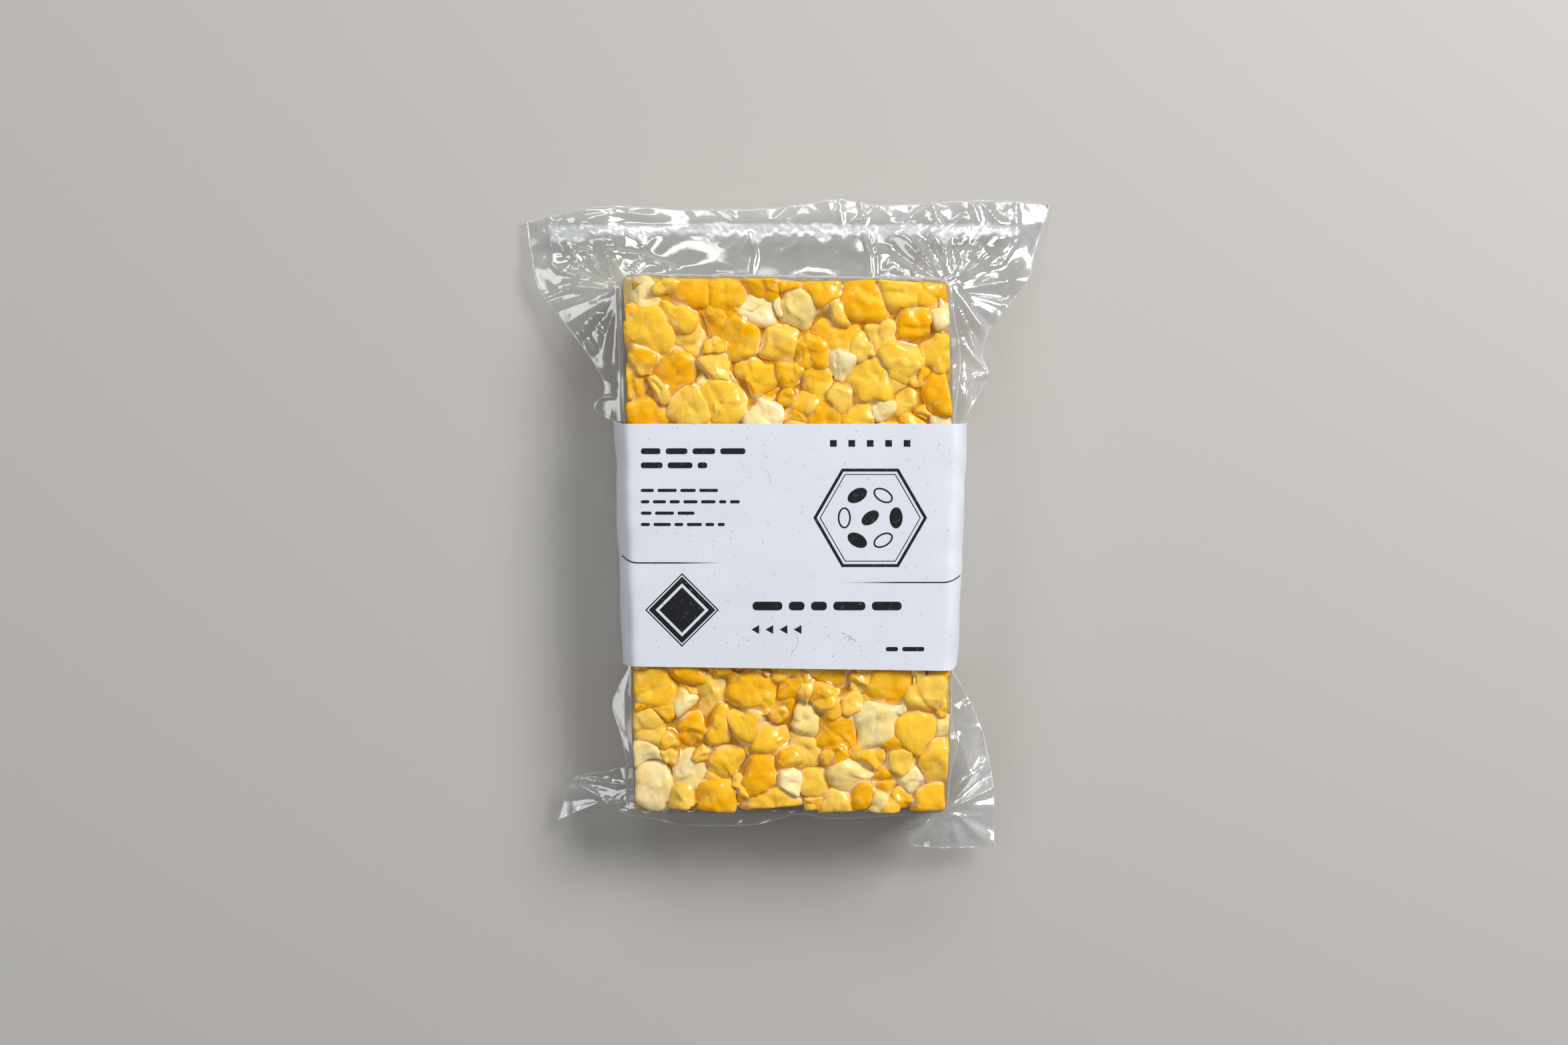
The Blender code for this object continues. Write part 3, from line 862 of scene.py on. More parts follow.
def folded(x, y):
    """Height that the named folds add, in mm."""
    total = np.zeros(len(x))
    for width, tall, run in FOLDS:
        away = np.full(len(x), 99.0)
        for (ax, ay), (bx, by) in zip(run, run[1:]):
            dx, dy = bx - ax, by - ay
            share = np.clip(((x - ax) * dx + (y - ay) * dy) / (dx * dx + dy * dy), 0, 1)
            away = np.minimum(away, np.hypot(x - ax - share * dx, y - ay - share * dy))
        near = np.clip(1 - away / width, 0, 1)
        total += tall * near ** 1.3 * (0.82 + 0.18 * np.cos(2 * math.pi * 2.2 * near))
    return total


def crumple_amount(x, y):
    """How crumpled the film is, from 0 to 1."""
    amount = np.full(len(x), 0.05)
    for mx, my, rx, ry, much in CRUMPLED:
        amount = np.maximum(amount, much * np.exp(-((x - mx) / rx) ** 2 - ((y - my) / ry) ** 2))
    return amount


def crumples(x, y):
    """Sharp small folds, from 0 to 1."""
    bx = x + 2.5 * noise_at(x, y, 8, 0)
    by = y + 2.5 * noise_at(x, y, 8, 5)
    coarse = 1 - np.minimum(1, 2.2 * abs(noise_at(bx, by, 6.0, 1.7)))
    fine = 1 - np.minimum(1, 2.2 * abs(noise_at(bx, by, 2.7, 6.4)))
    return 0.7 * coarse ** 3 + 0.3 * fine ** 3


def fanned(x, y):
    """Height of the broad folds that run out from the block's corners, in mm."""
    total = np.zeros(len(x))
    for cx, cy, reach, tall in FANS:
        far = np.hypot(x - cx, y - cy)
        turn = np.arctan2(y - cy, x - cx)
        wave = noise_at(np.cos(turn) * 3.2, np.sin(turn) * 3.2, 1.0, cx)
        total += tall * 2.2 * wave * even_step(1, 12, far) * (1 - even_step(0.6 * reach, reach, far))
    return total


def frosted(x, y):
    """How far the film is crinkled by the machine's seal across the head, from 0 to 1."""
    low = 80.7 - 1.6 * even_step(-50, -57, x) - 0.7 * noise_at(x, 0 * x, 2.2, 4)
    for drip in DRIPS:
        low = low - 2.3 * np.exp(-((x - drip) / 1.9) ** 2)
    high = 83.6 + 0.35 * noise_at(x, 0 * x, 9, 2)
    ends = even_step(-63.2, -61.4, x) * (1 - even_step(59.2, 61.4, x))
    return even_step(low, low + 0.7, y) * (1 - even_step(high - 0.3, high + 0.2, y)) * ends


def wall_lean(beside):
    """How far out the wall of film beside the block runs before it meets the fin."""
    x, y = beside.x / MM, beside.y / MM
    if y > 66:
        return (0.7 + 1.9 * abs(noise.noise(Vector((x / 6.5, 0, 3))))) * MM
    if y < -66:
        return (0.5 + 0.8 * abs(noise.noise(Vector((x / 6.5, 0, 7))))) * MM
    if x < 0:
        return (1.6 if y > 0 else 2.5) * MM
    bulge = math.exp(-((y - 48) / 12) ** 2) + 0.8 * math.exp(-((y + 53) / 5) ** 2)
    return (0.7 + 2.3 * bulge) * MM


def make_margin(settings):
    """The free margins: two films from the block's upper and lower edges that meet in one fin."""
    spokes = margin_spokes(settings)
    walls, fins = settings.wall_rings, settings.fin_rings
    beside = np.array([s[0] for s in spokes])
    edge = np.array([s[1] for s in spokes])
    span = np.linalg.norm(edge - beside, axis=1)
    lean = np.minimum([wall_lean(s[0]) for s in spokes], 0.55 * span)
    reach = [lean * k / walls for k in range(walls)]
    reach += [lean + (span - lean) * (k / fins) for k in range(fins + 1)]
    reach, lean, span = np.array(reach), np.tile(lean, (len(reach), 1)), np.tile(span, (len(reach), 1))
    places = beside + (edge - beside) * (reach / span)[:, :, None]
    shape = reach.shape
    x, y = places[:, :, 0].ravel() / MM, places[:, :, 1].ravel() / MM
    reach, lean, left = reach.ravel() / MM, lean.ravel() / MM, (span - reach).ravel() / MM
    span = span.ravel() / MM

    grow = even_step(0.2, 4.5, reach) * np.minimum(1, span / 6)
    amount, frost = crumple_amount(x, y), frosted(x, y)
    sharp = crumples(x, y)
    calm = 1 - 0.75 * even_step(-40, -36, x) * (1 - even_step(17, 20, x)) * even_step(67, 69, y) * (
        1 - even_step(84, 86, y))
    fin = -0.34 * reach + 1.0 * calm * grow * noise_at(x, y, 12, 3.1)
    fin += 1.1 * grow * (1 - even_step(0, 7, left)) * noise_at(x, y, 6.5, 8.2)
    fin += grow * (1.9 * amount * (sharp - 0.35) + folded(x, y) + fanned(x, y)) * (1 - 0.5 * frost)
    crinkle = noise_at(1.0 * x, 1.7 * y, 1.3, 2.0) + 0.5 * noise_at(1.0 * x, 1.6 * y, 0.6, 5.0)
    fin += (0.24 * frost + 0.10 * amount) * crinkle
    gap = (0.12 + 0.7 * amount * (0.5 + 0.5 * noise_at(x, y, 4, 9))) * (1 - frost) * grow
    gap *= even_step(0, 3, left)

    # How milky the film is: the seal's frost and the whitening of crumpled crests are the film's own; the white line
    # along the cut edge and the one where the wall meets the fin are painted highlights, and the sheens below are
    # painted sheen
    milk_and_sheen = 0.62 * frost + 0.5 * (1 - even_step(0.1, 0.6, left))
    milk_and_sheen += 0.35 * (1 - even_step(0.05, 0.35, abs(reach - lean))) * np.minimum(1, span / 5)
    milk_and_sheen += 0.5 * amount * sharp ** 5
    for mx, my, rx, ry, much in PAINTED_SHEENS:
        milk_and_sheen += much * np.exp(-((x - mx) / rx) ** 2 - ((y - my) / ry) ** 2)
    tint = np.exp(-((x + 46) / 5) ** 2 - ((y - 70.5) / 4) ** 2)
    part = np.minimum(1, reach / np.maximum(lean, 1e-6)) ** 0.8
    mid, points = MID / MM, []
    for side, edge_height in ((1, HALF.z / MM - 0.6), (-1, 0.6 - HALF.z / MM)):
        z = np.maximum(fin + side * (0.06 + gap / 2), (0.42 if side > 0 else 0.25) - mid)
        z = np.where(reach < lean, edge_height + (z - edge_height) * part, z)
        points += list(zip(x * MM, y * MM, (mid + z) * MM))

    turns, count = shape
    half_way = count * turns
    faces = []
    for r in range(turns - 1):
        for i in range(count):
            j = (i + 1) % count
            a, b = r * count, (r + 1) * count
            faces.append((a + i, b + i, b + j, a + j))
            faces.append((half_way + a + i, half_way + a + j, half_way + b + j, half_way + b + i))
    last = (turns - 1) * count
    for i in range(count):
        j = (i + 1) % count
        faces.append((last + i, half_way + last + i, half_way + last + j, last + j))
        faces.append((i, j, half_way + j, half_way + i))
    piece = new_piece("pouch_margins", points, faces, ["pouch_margin"])
    remember(piece, "milk_and_sheen", np.tile(np.clip(milk_and_sheen + 0.12 * tint, 0, 1), 2))
    remember(piece, "tint", np.tile(tint, 2))
    piece.data.materials.append(
        film_material("pouch_margins", settings, settings.film_gloss, settings.film_roughness, settings.film_haze)
    )


# ---------------------------------------------------------------- the paper sleeve and its print

SLEEVE_HEAD_HALF = 45.8 * MM
SLEEVE_FOOT_HALF = 43.3 * MM
SLEEVE_CENTRE = 0.6 * MM
SLEEVE_SIDE = 5.0 * MM
SLEEVE_RISE = (SLEEVE_HIGH.z - SLEEVE_LOW.z) / 2

# Grey scuffs on the paper, in mm: the width, and the places that each runs through.
SCUFFS = (
    (0.34, ((14.2, -24.0), (14.9, -23.3), (15.7, -23.2), (16.2, -23.9), (17.0, -24.1), (17.5, -24.9))),
    (0.26, ((13.5, -22.3), (14.2, -22.5), (14.8, -22.9))),
    (0.30, ((15.2, -24.4), (15.8, -23.8), (16.6, -24.2))),
    (0.12, ((1.2, -21.4), (2.3, -23.0), (2.7, -24.8), (1.9, -26.4), (0.9, -27.6), (1.1, -29.0))),
    (0.12, ((-5.6, 19.2), (-4.8, 18.0), (-4.4, 16.4), (-5.0, 15.2))),
    (0.16, ((-6.5, 22.9), (-5.7, 22.4), (-5.0, 22.6))),
)


def sleeve_loop(y, lift):
    """A closed loop of places round the sleeve at y, lift away from the paper's outside."""
    t = (y - SLEEVE_LOW.y) / (SLEEVE_HIGH.y - SLEEVE_LOW.y)
    flat = SLEEVE_FOOT_HALF + (SLEEVE_HEAD_HALF - SLEEVE_FOOT_HALF) * t - SLEEVE_SIDE
    side, rise = SLEEVE_SIDE + lift, SLEEVE_RISE + lift
    loop = []
    for hand, squareness in ((1, 2.7), (-1, 2.5 - 0.55 * t)):
        for i in range(-16, 17):
            turn = hand * math.pi / 2 * i / 16
            c, s = abs(math.cos(turn)), math.sin(turn)
            across = hand * (flat + side * c ** (2 / squareness))
            loop.append((across, math.copysign(rise * abs(s) ** (2 / squareness), s)))
        for i in range(1, 40):
            loop.append((hand * flat * (1 - i / 20), hand * rise))
    places = []
    for across, up in loop:
        drop = smooth(0, 9 * MM, SLEEVE_RISE - up) * smooth(-12 * MM, 0, up)
        shoulder = smooth(0, 2.5 * MM, abs(across) - flat + 2.5 * MM)
        pull_foot = (-0.6 * across / SLEEVE_FOOT_HALF + (3.2 if across > 0 else 0.5) * drop * shoulder) * MM
        pull_head = (1.1 if across < 0 else 0.6) * drop * shoulder * MM
        run = y + (1 - t) ** 4 * pull_foot + t ** 4 * pull_head
        dent = noise.noise(Vector((0.4 * across, y, up)) / (7 * MM)) * (0.05 + 0.42 * shoulder) * MM
        dent -= 0.3 * MM * shoulder * math.exp(-((y - 19 * MM) / (4 * MM)) ** 2) * (across < 0)
        out = Vector((math.copysign(shoulder, across), 0, up / SLEEVE_RISE)).normalized()
        if up < -0.8 * SLEEVE_RISE:
            dent = min(0, dent) * (1 - shoulder)
        places.append(Vector((SLEEVE_CENTRE + across, run, MID + up)) + out * min(dent, 0.15 * MM))
    return places


def make_sleeve(settings):
    """Wraps the paper round the block's middle, as one thin closed band."""
    ys = steps_between(SLEEVE_LOW.y, SLEEVE_HIGH.y, 1.6 * MM)
    loops = [sleeve_loop(y, 0) for y in ys] + [sleeve_loop(y, -settings.thickness) for y in reversed(ys)]
    count = len(loops[0])
    points = [p for loop in loops for p in loop]
    faces = []
    for r in range(len(loops)):
        a, b = r * count, (r + 1) % len(loops) * count
        for i in range(count):
            j = (i + 1) % count
            faces.append((a + i, a + j, b + j, b + i))
    piece = new_piece("sleeve", points, faces, ["paper_sleeve"])
    bpy.ops.object.select_all(action="DESELECT")
    piece.select_set(True)
    bpy.context.view_layer.objects.active = piece
    bpy.ops.object.shade_smooth_by_angle(angle=math.radians(60))
    piece.data.materials.append(paper_material(settings))


def paper_material(settings):
    """Smooth cool paper with faint fibres, a few specks and scuffs."""
    material, tree, output = new_material("sleeve_paper")
    cloud = ramp(tree, [(0.35, (0.955, 0.962, 0.97)), (0.65, (1, 1, 1))], own_noise(tree, 45, 4))
    colour = mix_colours(tree, 1.0, settings.paper, cloud, "MULTIPLY")
    scuff = ramp(tree, [(0.66, (1, 1, 1)), (0.76, (0.84, 0.85, 0.87))], own_noise(tree, 620, 2, 0.5, (1, 0.5, 1)))
    patch = ramp(tree, [(0.56, (0, 0, 0)), (0.68, (1, 1, 1))], own_noise(tree, 70, 2))
    colour = mix_colours(tree, maths(tree, "MULTIPLY", patch, 0.55), colour, mix_colours(
        tree, 1.0, colour, scuff, "MULTIPLY"))
    speck = ramp(tree, [(0.80, (1, 1, 1)), (0.83, (0.6, 0.61, 0.64))], own_noise(tree, 1500, 0))
    colour = mix_colours(tree, 0.8, colour, speck, "MULTIPLY")
    shader = node(tree, "BsdfPrincipled", {"Roughness": 0.48, "Specular IOR Level": 0.4})
    bump = node(tree, "Bump", {"Strength": 0.12, "Distance": 0.0002})
    join(tree, own_noise(tree, 1800, 3, 0.6, (1, 0.35, 1)), bump.inputs["Height"])
    join(tree, bump.outputs["Normal"], shader.inputs["Normal"])
    join(tree, colour, shader.inputs["Base Color"])
    join(tree, shader.outputs["BSDF"], output.inputs["Surface"])
    return material


def stamped(x, y, wide, tall, turn=0.0):
    """Sets the size, turn and place of the flat shape that was just added, in mm."""
    shape = bpy.context.object
    shape.scale = (wide * MM, tall * MM, 1)
    shape.rotation_euler.z = turn
    shape.location = (x * MM, y * MM, 0)
    bpy.ops.object.transform_apply(location=True, rotation=True, scale=True)
    return shape


def disc(x, y, wide, tall, turn=0.0, sides=40):
    """A filled oval."""
    bpy.ops.mesh.primitive_circle_add(vertices=sides, radius=1, fill_type="TRIFAN")
    bpy.ops.object.mode_set(mode="EDIT")
    bpy.ops.mesh.subdivide(number_cuts=2)
    bpy.ops.object.mode_set(mode="OBJECT")
    return stamped(x, y, wide, tall, turn)


def outline(x, y, wide, tall, line, turn=0.0, sides=64):
    """The outline of an oval or a polygon, with its line's width inside the shape."""
    bpy.ops.mesh.primitive_circle_add(vertices=sides, radius=1, fill_type="NGON")
    shape = stamped(x, y, wide, tall, turn)
    bpy.ops.object.mode_set(mode="EDIT")
    bpy.ops.mesh.inset(thickness=line * MM)
    bpy.ops.mesh.delete(type="ONLY_FACE")
    bpy.ops.object.mode_set(mode="OBJECT")
    return shape


def bar(x, y, wide, tall):
    """A short bar with rounded ends, from x to the right."""
    bpy.ops.mesh.primitive_plane_add(size=1)
    shape = stamped(x + wide / 2, y, wide, tall)
    bpy.ops.object.mode_set(mode="EDIT")
    bpy.ops.mesh.bevel(offset=0.42 * tall * MM, segments=3, affect="VERTICES")
    bpy.ops.object.mode_set(mode="OBJECT")
    return shape


def row_of_bars(rng, left, y, wide, tall):
    """Bars of uneven lengths that start at the left, in place of a line of small print."""
    shapes, x = [], left
    while x < left + wide:
        run = rng.uniform(1.6, 4.6) * (0.7 + 0.5 * tall)
        shapes.append(bar(x, y, run, tall))
        x += run + 0.55 + 0.5 * tall
    return shapes


def stroke(run, wide):
    """A fine hand-drawn looking line through these places, in mm, that thins out at both ends."""
    points = []
    for i, (x, y) in enumerate(run):
        (ax, ay), (bx, by) = run[max(0, i - 1)], run[min(len(run) - 1, i + 1)]
        along = Vector((bx - ax, by - ay)).normalized()
        half = wide / 2 * (0.25 + 0.75 * math.sin(math.pi * i / (len(run) - 1)))
        points += [((x + side * along.y * half) * MM, (y - side * along.x * half) * MM, 0) for side in (1, -1)]
    mesh = bpy.data.meshes.new("stroke")
    mesh.from_pydata(points, [], [(i, i + 2, i + 3, i + 1) for i in range(0, len(points) - 2, 2)])
    shape = bpy.data.objects.new("stroke", mesh)
    bpy.context.scene.collection.objects.link(shape)
    return shape


def rule(inner, y, hand):
    """A fine line from inside the sleeve's face round its shoulder, thinning out inwards."""
    bpy.ops.mesh.primitive_grid_add(x_subdivisions=70, y_subdivisions=1, size=2)
    shape = bpy.context.object
    outer = 0.6 + hand * 45
    for v in shape.data.vertices:
        share = (v.co.x + 1) / 2
        x = inner + (outer - inner) * share
        lift = 1.7 * smooth(39, 45, abs(x - 0.6))
        v.co = (x * MM, (y + lift + v.co.y * 0.16 * smooth(0, 0.5, share)) * MM, 0)
    return shape


def bean_mark(x, y, size, turn, line):
    """A small oval bean, filled or in outline."""
    return disc(x, y, size, 0.62 * size, turn, 28) if line is None else outline(x, y, size, 0.62 * size, line, turn, 28)


def honeycomb_mark(x, y):
    """The large mark: a six-sided outline round a ring of beans."""
    shapes = [outline(x, y, 14.5, 14.5, 0.75, math.radians(30), 6), outline(x, y, 12.9, 12.9, 0.22, math.radians(30), 6)]
    shapes.append(bean_mark(x, y, 2.5, math.radians(35), None))
    for k in range(6):
        turn = math.radians(60 * k)
        shapes.append(bean_mark(
            x + 6.6 * math.cos(turn), y + 6.6 * math.sin(turn), 2.7, turn + math.radians(90), 0.42 if k % 2 else None))
    return shapes


def onto_paper(name, shapes, ink_lift):
    """Joins flat shapes into one thin piece that is wrapped round the sleeve."""
    bpy.ops.object.select_all(action="DESELECT")
    for shape in shapes:
        shape.select_set(True)
    bpy.context.view_layer.objects.active = shapes[0]
    bpy.ops.object.join()
    ink = bpy.context.object
    ink.name = name
    paper = tree_of("sleeve")
    flat = SLEEVE_FOOT_HALF - SLEEVE_SIDE
    for v in ink.data.vertices:
        across = v.co.x - SLEEVE_CENTRE
        hand = math.copysign(1, across)
        turn = max(0, abs(across) - flat) / SLEEVE_SIDE
        out = Vector((hand * math.sin(turn), 0, math.cos(turn)))
        x = SLEEVE_CENTRE + hand * min(abs(across), flat)
        core = Vector((x, v.co.y, SLEEVE_HIGH.z - SLEEVE_SIDE))
        v.co = paper.ray_cast(core + 20 * MM * out, -out)[0] + ink_lift * out
    thick = ink.modifiers.new("thick", "SOLIDIFY")
    thick.thickness = 0.5 * ink_lift
    thick.offset = -1
    bpy.ops.object.modifier_apply(modifier="thick")
    return settle(ink, shade_smooth=False)


def print_sleeve(settings):
    """Lays the black print on the sleeve: plain marks, fine lines and rows of bars."""
    rng = random.Random(5)
    shapes = honeycomb_mark(21, 7)
    shapes += [outline(-27, -16.5, 9.4, 9.4, 0.3, 0, 4), outline(-27, -16.5, 8.5, 8.5, 1.2, 0, 4)]
    shapes.append(disc(-27, -16.5, 5.8, 5.8, 0, 4))
    for k, wide in enumerate((22, 15)):
        shapes += row_of_bars(rng, -37.5, 24 - 3.6 * k, wide, 1.5)
    for k, wide in enumerate((19, 23, 14, 20)):
        shapes += row_of_bars(rng, -37.5, 14 - 2.9 * k, wide, 0.8)
    shapes += row_of_bars(rng, -9, -15.5, 38, 2.2)
    shapes += row_of_bars(rng, 25, -26.5, 9, 1.1)
    for k in range(5):
        shapes.append(disc(11.6 + 4.7 * k, 26, 1.2, 1.2, math.radians(45), 4))
    for k in range(4):
        shapes.append(disc(-8 + 3.6 * k, -21.5, 1.3, 1.3, math.radians(90), 3))
    shapes += [rule(-16, -4.5, -1), rule(14, -9.5, 1)]
    ink = onto_paper("print", shapes, settings.ink_lift)
    material, tree, output = new_material("print")
    worn = ramp(tree, [(0.30, (0.055, 0.058, 0.07)), (0.42, settings.ink)], own_noise(tree, 900, 3))
    shader = node(tree, "BsdfPrincipled", {"Roughness": 0.5, "Specular IOR Level": 0.3})
    join(tree, worn, shader.inputs["Base Color"])
    join(tree, shader.outputs["BSDF"], output.inputs["Surface"])
    ink.data.materials.append(material)

    marks = onto_paper("scuffs", [stroke(run, wide) for wide, run in SCUFFS], settings.ink_lift / 2)
    material, tree, output = new_material("scuffs")
    shader = node(tree, "BsdfPrincipled", {"Base Color": (*settings.scuff, 1), "Roughness": 0.6})
    join(tree, shader.outputs["BSDF"], output.inputs["Surface"])
    marks.data.materials.append(material)


# ---------------------------------------------------------------- stage

def make_stage(settings):
    """A pale floor, soft lights and the camera straight above."""
    bpy.ops.mesh.primitive_plane_add(size=3.0, location=(0, 0, 0))
    floor = bpy.context.object
    floor.name = "floor"
    material, tree, output = new_material("floor")
    shader = node(tree, "BsdfPrincipled", {"Base Color": (*settings.floor, 1), "Roughness": 0.8})
    join(tree, shader.outputs["BSDF"], output.inputs["Surface"])
    floor.data.materials.append(material)

    world = bpy.data.worlds.new("studio")
    bpy.context.scene.world = world
    world.use_nodes = True
    backdrop = world.node_tree.nodes["Background"]
    backdrop.inputs["Color"].default_value = (0.93, 0.96, 1.0, 1)
    backdrop.inputs["Strength"].default_value = settings.ambient

    for name, place, size, power in (
        ("key", (0.70, 0.55, 0.75), (0.55, 0.45), settings.key),
        ("fill", (-0.8, -0.1, 0.9), (0.7, 0.5), settings.fill),
        ("back", (-0.1, 0.9, 0.6), (0.8, 0.25), settings.back),
    ):
        bpy.ops.object.light_add(type="AREA", location=place)
        light = bpy.context.object
        light.name = name
        light.data.shape = "RECTANGLE"
        light.data.size, light.data.size_y = size
        light.data.energy = power
        light.rotation_mode = "QUATERNION"
        light.rotation_quaternion = (Vector((0, 0, 0.02)) - light.location).to_track_quat("-Z", "Y")

    bpy.ops.object.camera_add(location=(-0.001, 0.0058, settings.camera_height), rotation=(0, 0, 0))
    camera = bpy.context.object
    camera.data.sensor_width = 36
    camera.data.lens = 36 * (settings.camera_height - SLEEVE_HIGH.z) / settings.view_width
    camera.data.clip_end = 10
    bpy.context.scene.camera = camera
    bpy.context.scene.view_settings.view_transform = "Standard"


# ---------------------------------------------------------------- settings

def colour(name, text, value):
    return FloatVectorProperty(name=name, description=text, subtype="COLOR", default=value, min=0, max=1)


def length(name, text, value):
    return FloatProperty(name=name, description=text, unit="LENGTH", default=value)


class TempehCakeSettings(bpy.types.PropertyGroup):
    seed: IntProperty(name="Seed", description="Changes how the beans lie", default=11)
    bean_half: length("Bean Half Width", "Half the width of a middling bean", 5.0 * MM)
    large_share: FloatProperty(name="Large Share", description="Share of a face under large beans", default=1.0)
    closeness: FloatProperty(name="Closeness", description="How near two beans may lie", default=0.72)
    tuck: length("Tuck", "How far a lower bean runs under its neighbour", 0.1 * MM)
    overlap: length("Overlap", "How far a higher bean runs over its neighbour", 0.4 * MM)
    lap: FloatProperty(name="Lap", description="How much further for each mm that it stands higher", default=1.5)
    doming: FloatProperty(name="Doming", description="How flat the film presses a bean's top", default=4.2)
    bend: length("Bend", "How far the beans' outlines wander", 1.7 * MM)
    bend_scale: FloatProperty(name="Bend Scale", description="Size of those bends in mm", default=6.0)
    squareness: FloatProperty(name="Squareness", description="How crisp pressed edges are", default=14.0)
    bean_cuts: IntProperty(name="Bean Cuts", description="Cuts along the edges of a large bean on top", default=12)
    chip_cuts: IntProperty(name="Chip Cuts", description="Cuts along the edges of the other beans", default=8)
    cream_share: FloatProperty(name="Cream Share", description="Share of cream beans", default=0.05)
    pale_share: FloatProperty(name="Pale Share", description="Share of pale golden beans", default=0.26)
    gold: colour("Gold", "Body of a golden bean", (0.97, 0.455, 0.003))
    gold_light: colour("Light Gold", "Lighter parts of a golden bean", (0.98, 0.575, 0.045))
    pale: colour("Pale Gold", "Body of a pale bean", (0.98, 0.62, 0.10))
    cream: colour("Cream", "Body of a cream bean", (0.98, 0.72, 0.24))
    cream_light: colour("Light Cream", "Lighter parts of a cream bean", (0.98, 0.79, 0.42))
    # painted shade: the colours that the lower, shaded parts of cream and golden beans darken to
    cream_shade: colour("Cream Seam", "Lower parts of a cream bean", (0.93, 0.58, 0.13))
    crevice_shade: colour("Crevice", "Lower parts of the golden beans", (0.76, 0.36, 0.004))
    threads: colour("Threads", "The pale mould threads along the rims", (0.97, 0.75, 0.43))
    thread_share: FloatProperty(name="Thread Share", description="How strongly the threads show", default=0.75)


class PouchSettings(bpy.types.PropertyGroup):
    skin_step: length("Skin Step", "Mesh size of the drawn film", 0.62 * MM)
    film_rounds: IntProperty(name="Film Rounds", description="Rounds of stretching the drawn film", default=80)
    vacuum: length("Vacuum", "How hard each round sucks the film in", 0.075 * MM)
    deepest: length("Deepest Hollow", "How far the film can be sucked between beans", 3.0 * MM)
    film_clear: length("Film Clearance", "Film's stand-off from the beans", 0.13 * MM)
    fill_depth: length("Fill Depth", "How far the mould threads lie below the film", 0.75 * MM)
    threads: colour("Threads", "Pale mould threads", (0.96, 0.75, 0.47))
    # painted shade: the colours that the mould threads darken to in the hollows
    hollow_shade: colour("Hollow", "Mould threads in a hollow", (0.88, 0.60, 0.20))
    crevice_shade: colour("Crevice", "The bottom of the deepest hollows", (0.60, 0.29, 0.012))
    cling_gloss: FloatProperty(name="Cling Gloss", description="Gloss of film drawn tight", default=0.04)
    bridge_milk: FloatProperty(name="Bridge Milk", description="Whiteness of film over hollows", default=0.4)
    margin_step: length("Margin Step", "Mesh size along the cut edge", 0.52 * MM)
    wall_reach: length("Wall Reach", "How far the film tents off the block's side", 2.4 * MM)
    wall_rings: IntProperty(name="Wall Rings", description="Mesh rings down the tented wall", default=7)
    fin_rings: IntProperty(name="Fin Rings", description="Mesh rings across the fin", default=34)
    film_colour: colour("Film Haze Colour", "Colour of whitened film", (0.82, 0.85, 0.88))
    film_tint: colour("Film Tint", "Colour of the film where it is folded many times", (0.70, 0.76, 0.42))
    film_haze: FloatProperty(name="Film Haze", description="How milky clear film is", default=0.02)
    milk_strength: FloatProperty(name="Milk Strength", description="How milky whitened film is", default=0.8)
    film_roughness: FloatProperty(name="Film Roughness", description="Blur of the film's gloss", default=0.12)
    film_gloss: FloatProperty(name="Film Gloss", description="Gloss of the free film", default=0.09)
    film_bump: FloatProperty(name="Film Bump", description="Strength of the film's fine ripple", default=0.12)


class SleeveSettings(bpy.types.PropertyGroup):
    paper: colour("Paper", "Colour of the paper", (0.725, 0.75, 0.815))
    thickness: length("Thickness", "Thickness of the paper", 0.35 * MM)
    ink: colour("Ink", "Colour of the print", (0.006, 0.007, 0.010))
    scuff: colour("Scuff", "Colour of the scuffs", (0.42, 0.44, 0.48))
    ink_lift: length("Ink Lift", "How far the print's top lies over the paper", 0.05 * MM)


class StageSettings(bpy.types.PropertyGroup):
    floor: colour("Floor", "Colour of the floor", (0.50, 0.48, 0.45))
    ambient: FloatProperty(name="Ambient", description="Strength of the light from all round", default=0.185)
    key: FloatProperty(name="Key", description="Power of the key light", unit="POWER", default=13.1)
    fill: FloatProperty(name="Fill", description="Power of the fill light", unit="POWER", default=2.7)
    back: FloatProperty(name="Back", description="Power of the light beyond the head", unit="POWER", default=2.7)
    camera_height: length("Camera Height", "Height of the camera over the floor", 0.80)
    view_width: length("View Width", "Width that the camera sees at the pack's top", 0.40)


# ---------------------------------------------------------------- operators and panel

class TEMPEH_OT_beans(bpy.types.Operator):
    """Presses the beans of both open ends together"""
    bl_idname = "tempeh.beans"
    bl_label = "Beans"

    def execute(self, context):
        wipe(*KINDS)
        press_beans(context.scene.tempeh_cake)
        return {"FINISHED"}


class TEMPEH_OT_wrap(bpy.types.Operator):
    """Draws the film over the beans and fills the hollows below it with mould threads"""
    bl_idname = "tempeh.wrap"
    bl_label = "Threads and Drawn Film"

    def execute(self, context):
        wipe("mould_threads", "drawn_film")
        wrap_beans(context.scene.tempeh_pouch)
        return {"FINISHED"}


class TEMPEH_OT_margins(bpy.types.Operator):
    """Makes the pouch's crinkled margins"""
    bl_idname = "tempeh.margins"
    bl_label = "Pouch Margins"

    def execute(self, context):
        wipe("pouch_margins")
        make_margin(context.scene.tempeh_pouch)
        return {"FINISHED"}


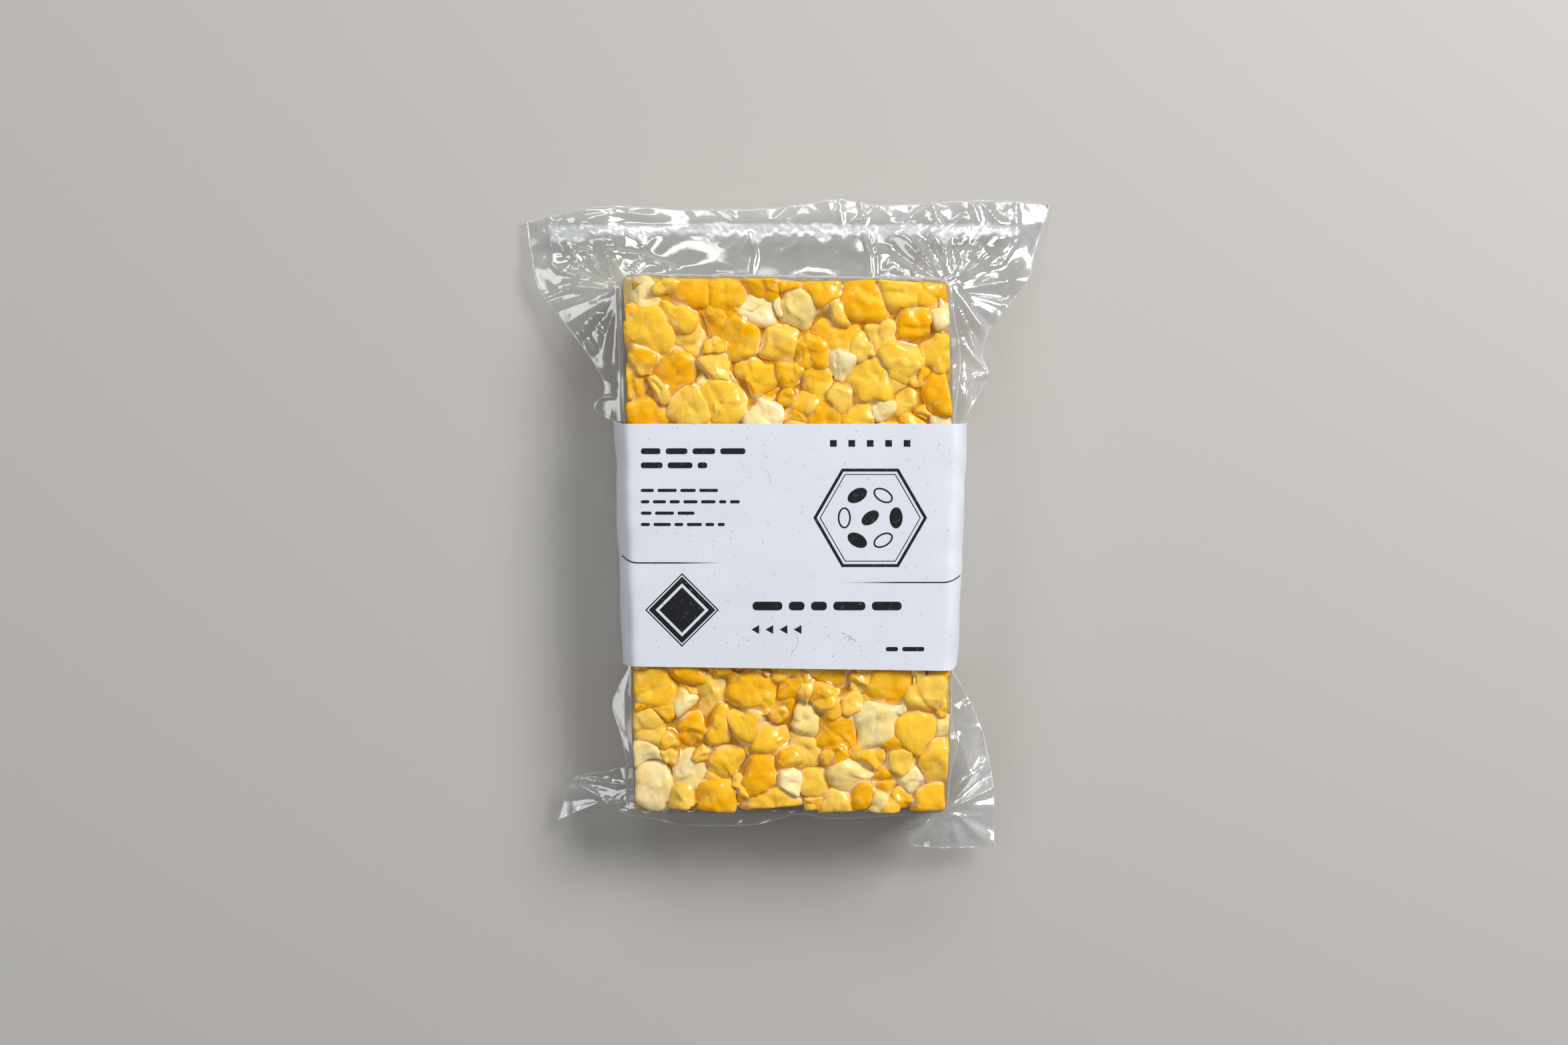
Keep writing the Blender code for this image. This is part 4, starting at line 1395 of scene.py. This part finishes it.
class TEMPEH_OT_sleeve(bpy.types.Operator):
    """Wraps the paper sleeve round the middle"""
    bl_idname = "tempeh.sleeve"
    bl_label = "Paper Sleeve"

    def execute(self, context):
        wipe("sleeve")
        make_sleeve(context.scene.tempeh_sleeve)
        return {"FINISHED"}


class TEMPEH_OT_print(bpy.types.Operator):
    """Prints the sleeve with plain marks, lines and bars"""
    bl_idname = "tempeh.print"
    bl_label = "Print"

    def execute(self, context):
        wipe("print", "scuffs")
        print_sleeve(context.scene.tempeh_sleeve)
        return {"FINISHED"}


class TEMPEH_OT_stage(bpy.types.Operator):
    """Sets up the floor, the lights and the camera"""
    bl_idname = "tempeh.stage"
    bl_label = "Stage"

    def execute(self, context):
        wipe("floor")
        make_stage(context.scene.tempeh_stage)
        return {"FINISHED"}


class TEMPEH_PT_panel(bpy.types.Panel):
    """Lists the steps in order"""
    bl_label = "Tempeh"
    bl_idname = "TEMPEH_PT_panel"
    bl_space_type = "VIEW_3D"
    bl_region_type = "UI"
    bl_category = "Tempeh"

    def draw(self, context):
        for operator in OPERATORS:
            self.layout.operator(operator.bl_idname)


GROUPS = {
    "tempeh_cake": TempehCakeSettings,
    "tempeh_pouch": PouchSettings,
    "tempeh_sleeve": SleeveSettings,
    "tempeh_stage": StageSettings,
}
OPERATORS = (
    TEMPEH_OT_beans, TEMPEH_OT_wrap, TEMPEH_OT_margins, TEMPEH_OT_sleeve, TEMPEH_OT_print,
    TEMPEH_OT_stage,
)


def register():
    for name, group in GROUPS.items():
        bpy.utils.register_class(group)
        setattr(bpy.types.Scene, name, PointerProperty(type=group))
    for cls in (*OPERATORS, TEMPEH_PT_panel):
        bpy.utils.register_class(cls)


def unregister():
    for cls in reversed((*OPERATORS, TEMPEH_PT_panel)):
        bpy.utils.unregister_class(cls)
    for name, group in reversed(GROUPS.items()):
        delattr(bpy.types.Scene, name)
        bpy.utils.unregister_class(group)


def main():
    register()
    bpy.ops.object.select_all(action="DESELECT")
    bpy.ops.tempeh.beans()
    bpy.ops.tempeh.wrap()
    bpy.ops.tempeh.margins()
    bpy.ops.tempeh.sleeve()
    bpy.ops.tempeh.print()
    bpy.ops.tempeh.stage()


if __name__ == "__main__":
    main()
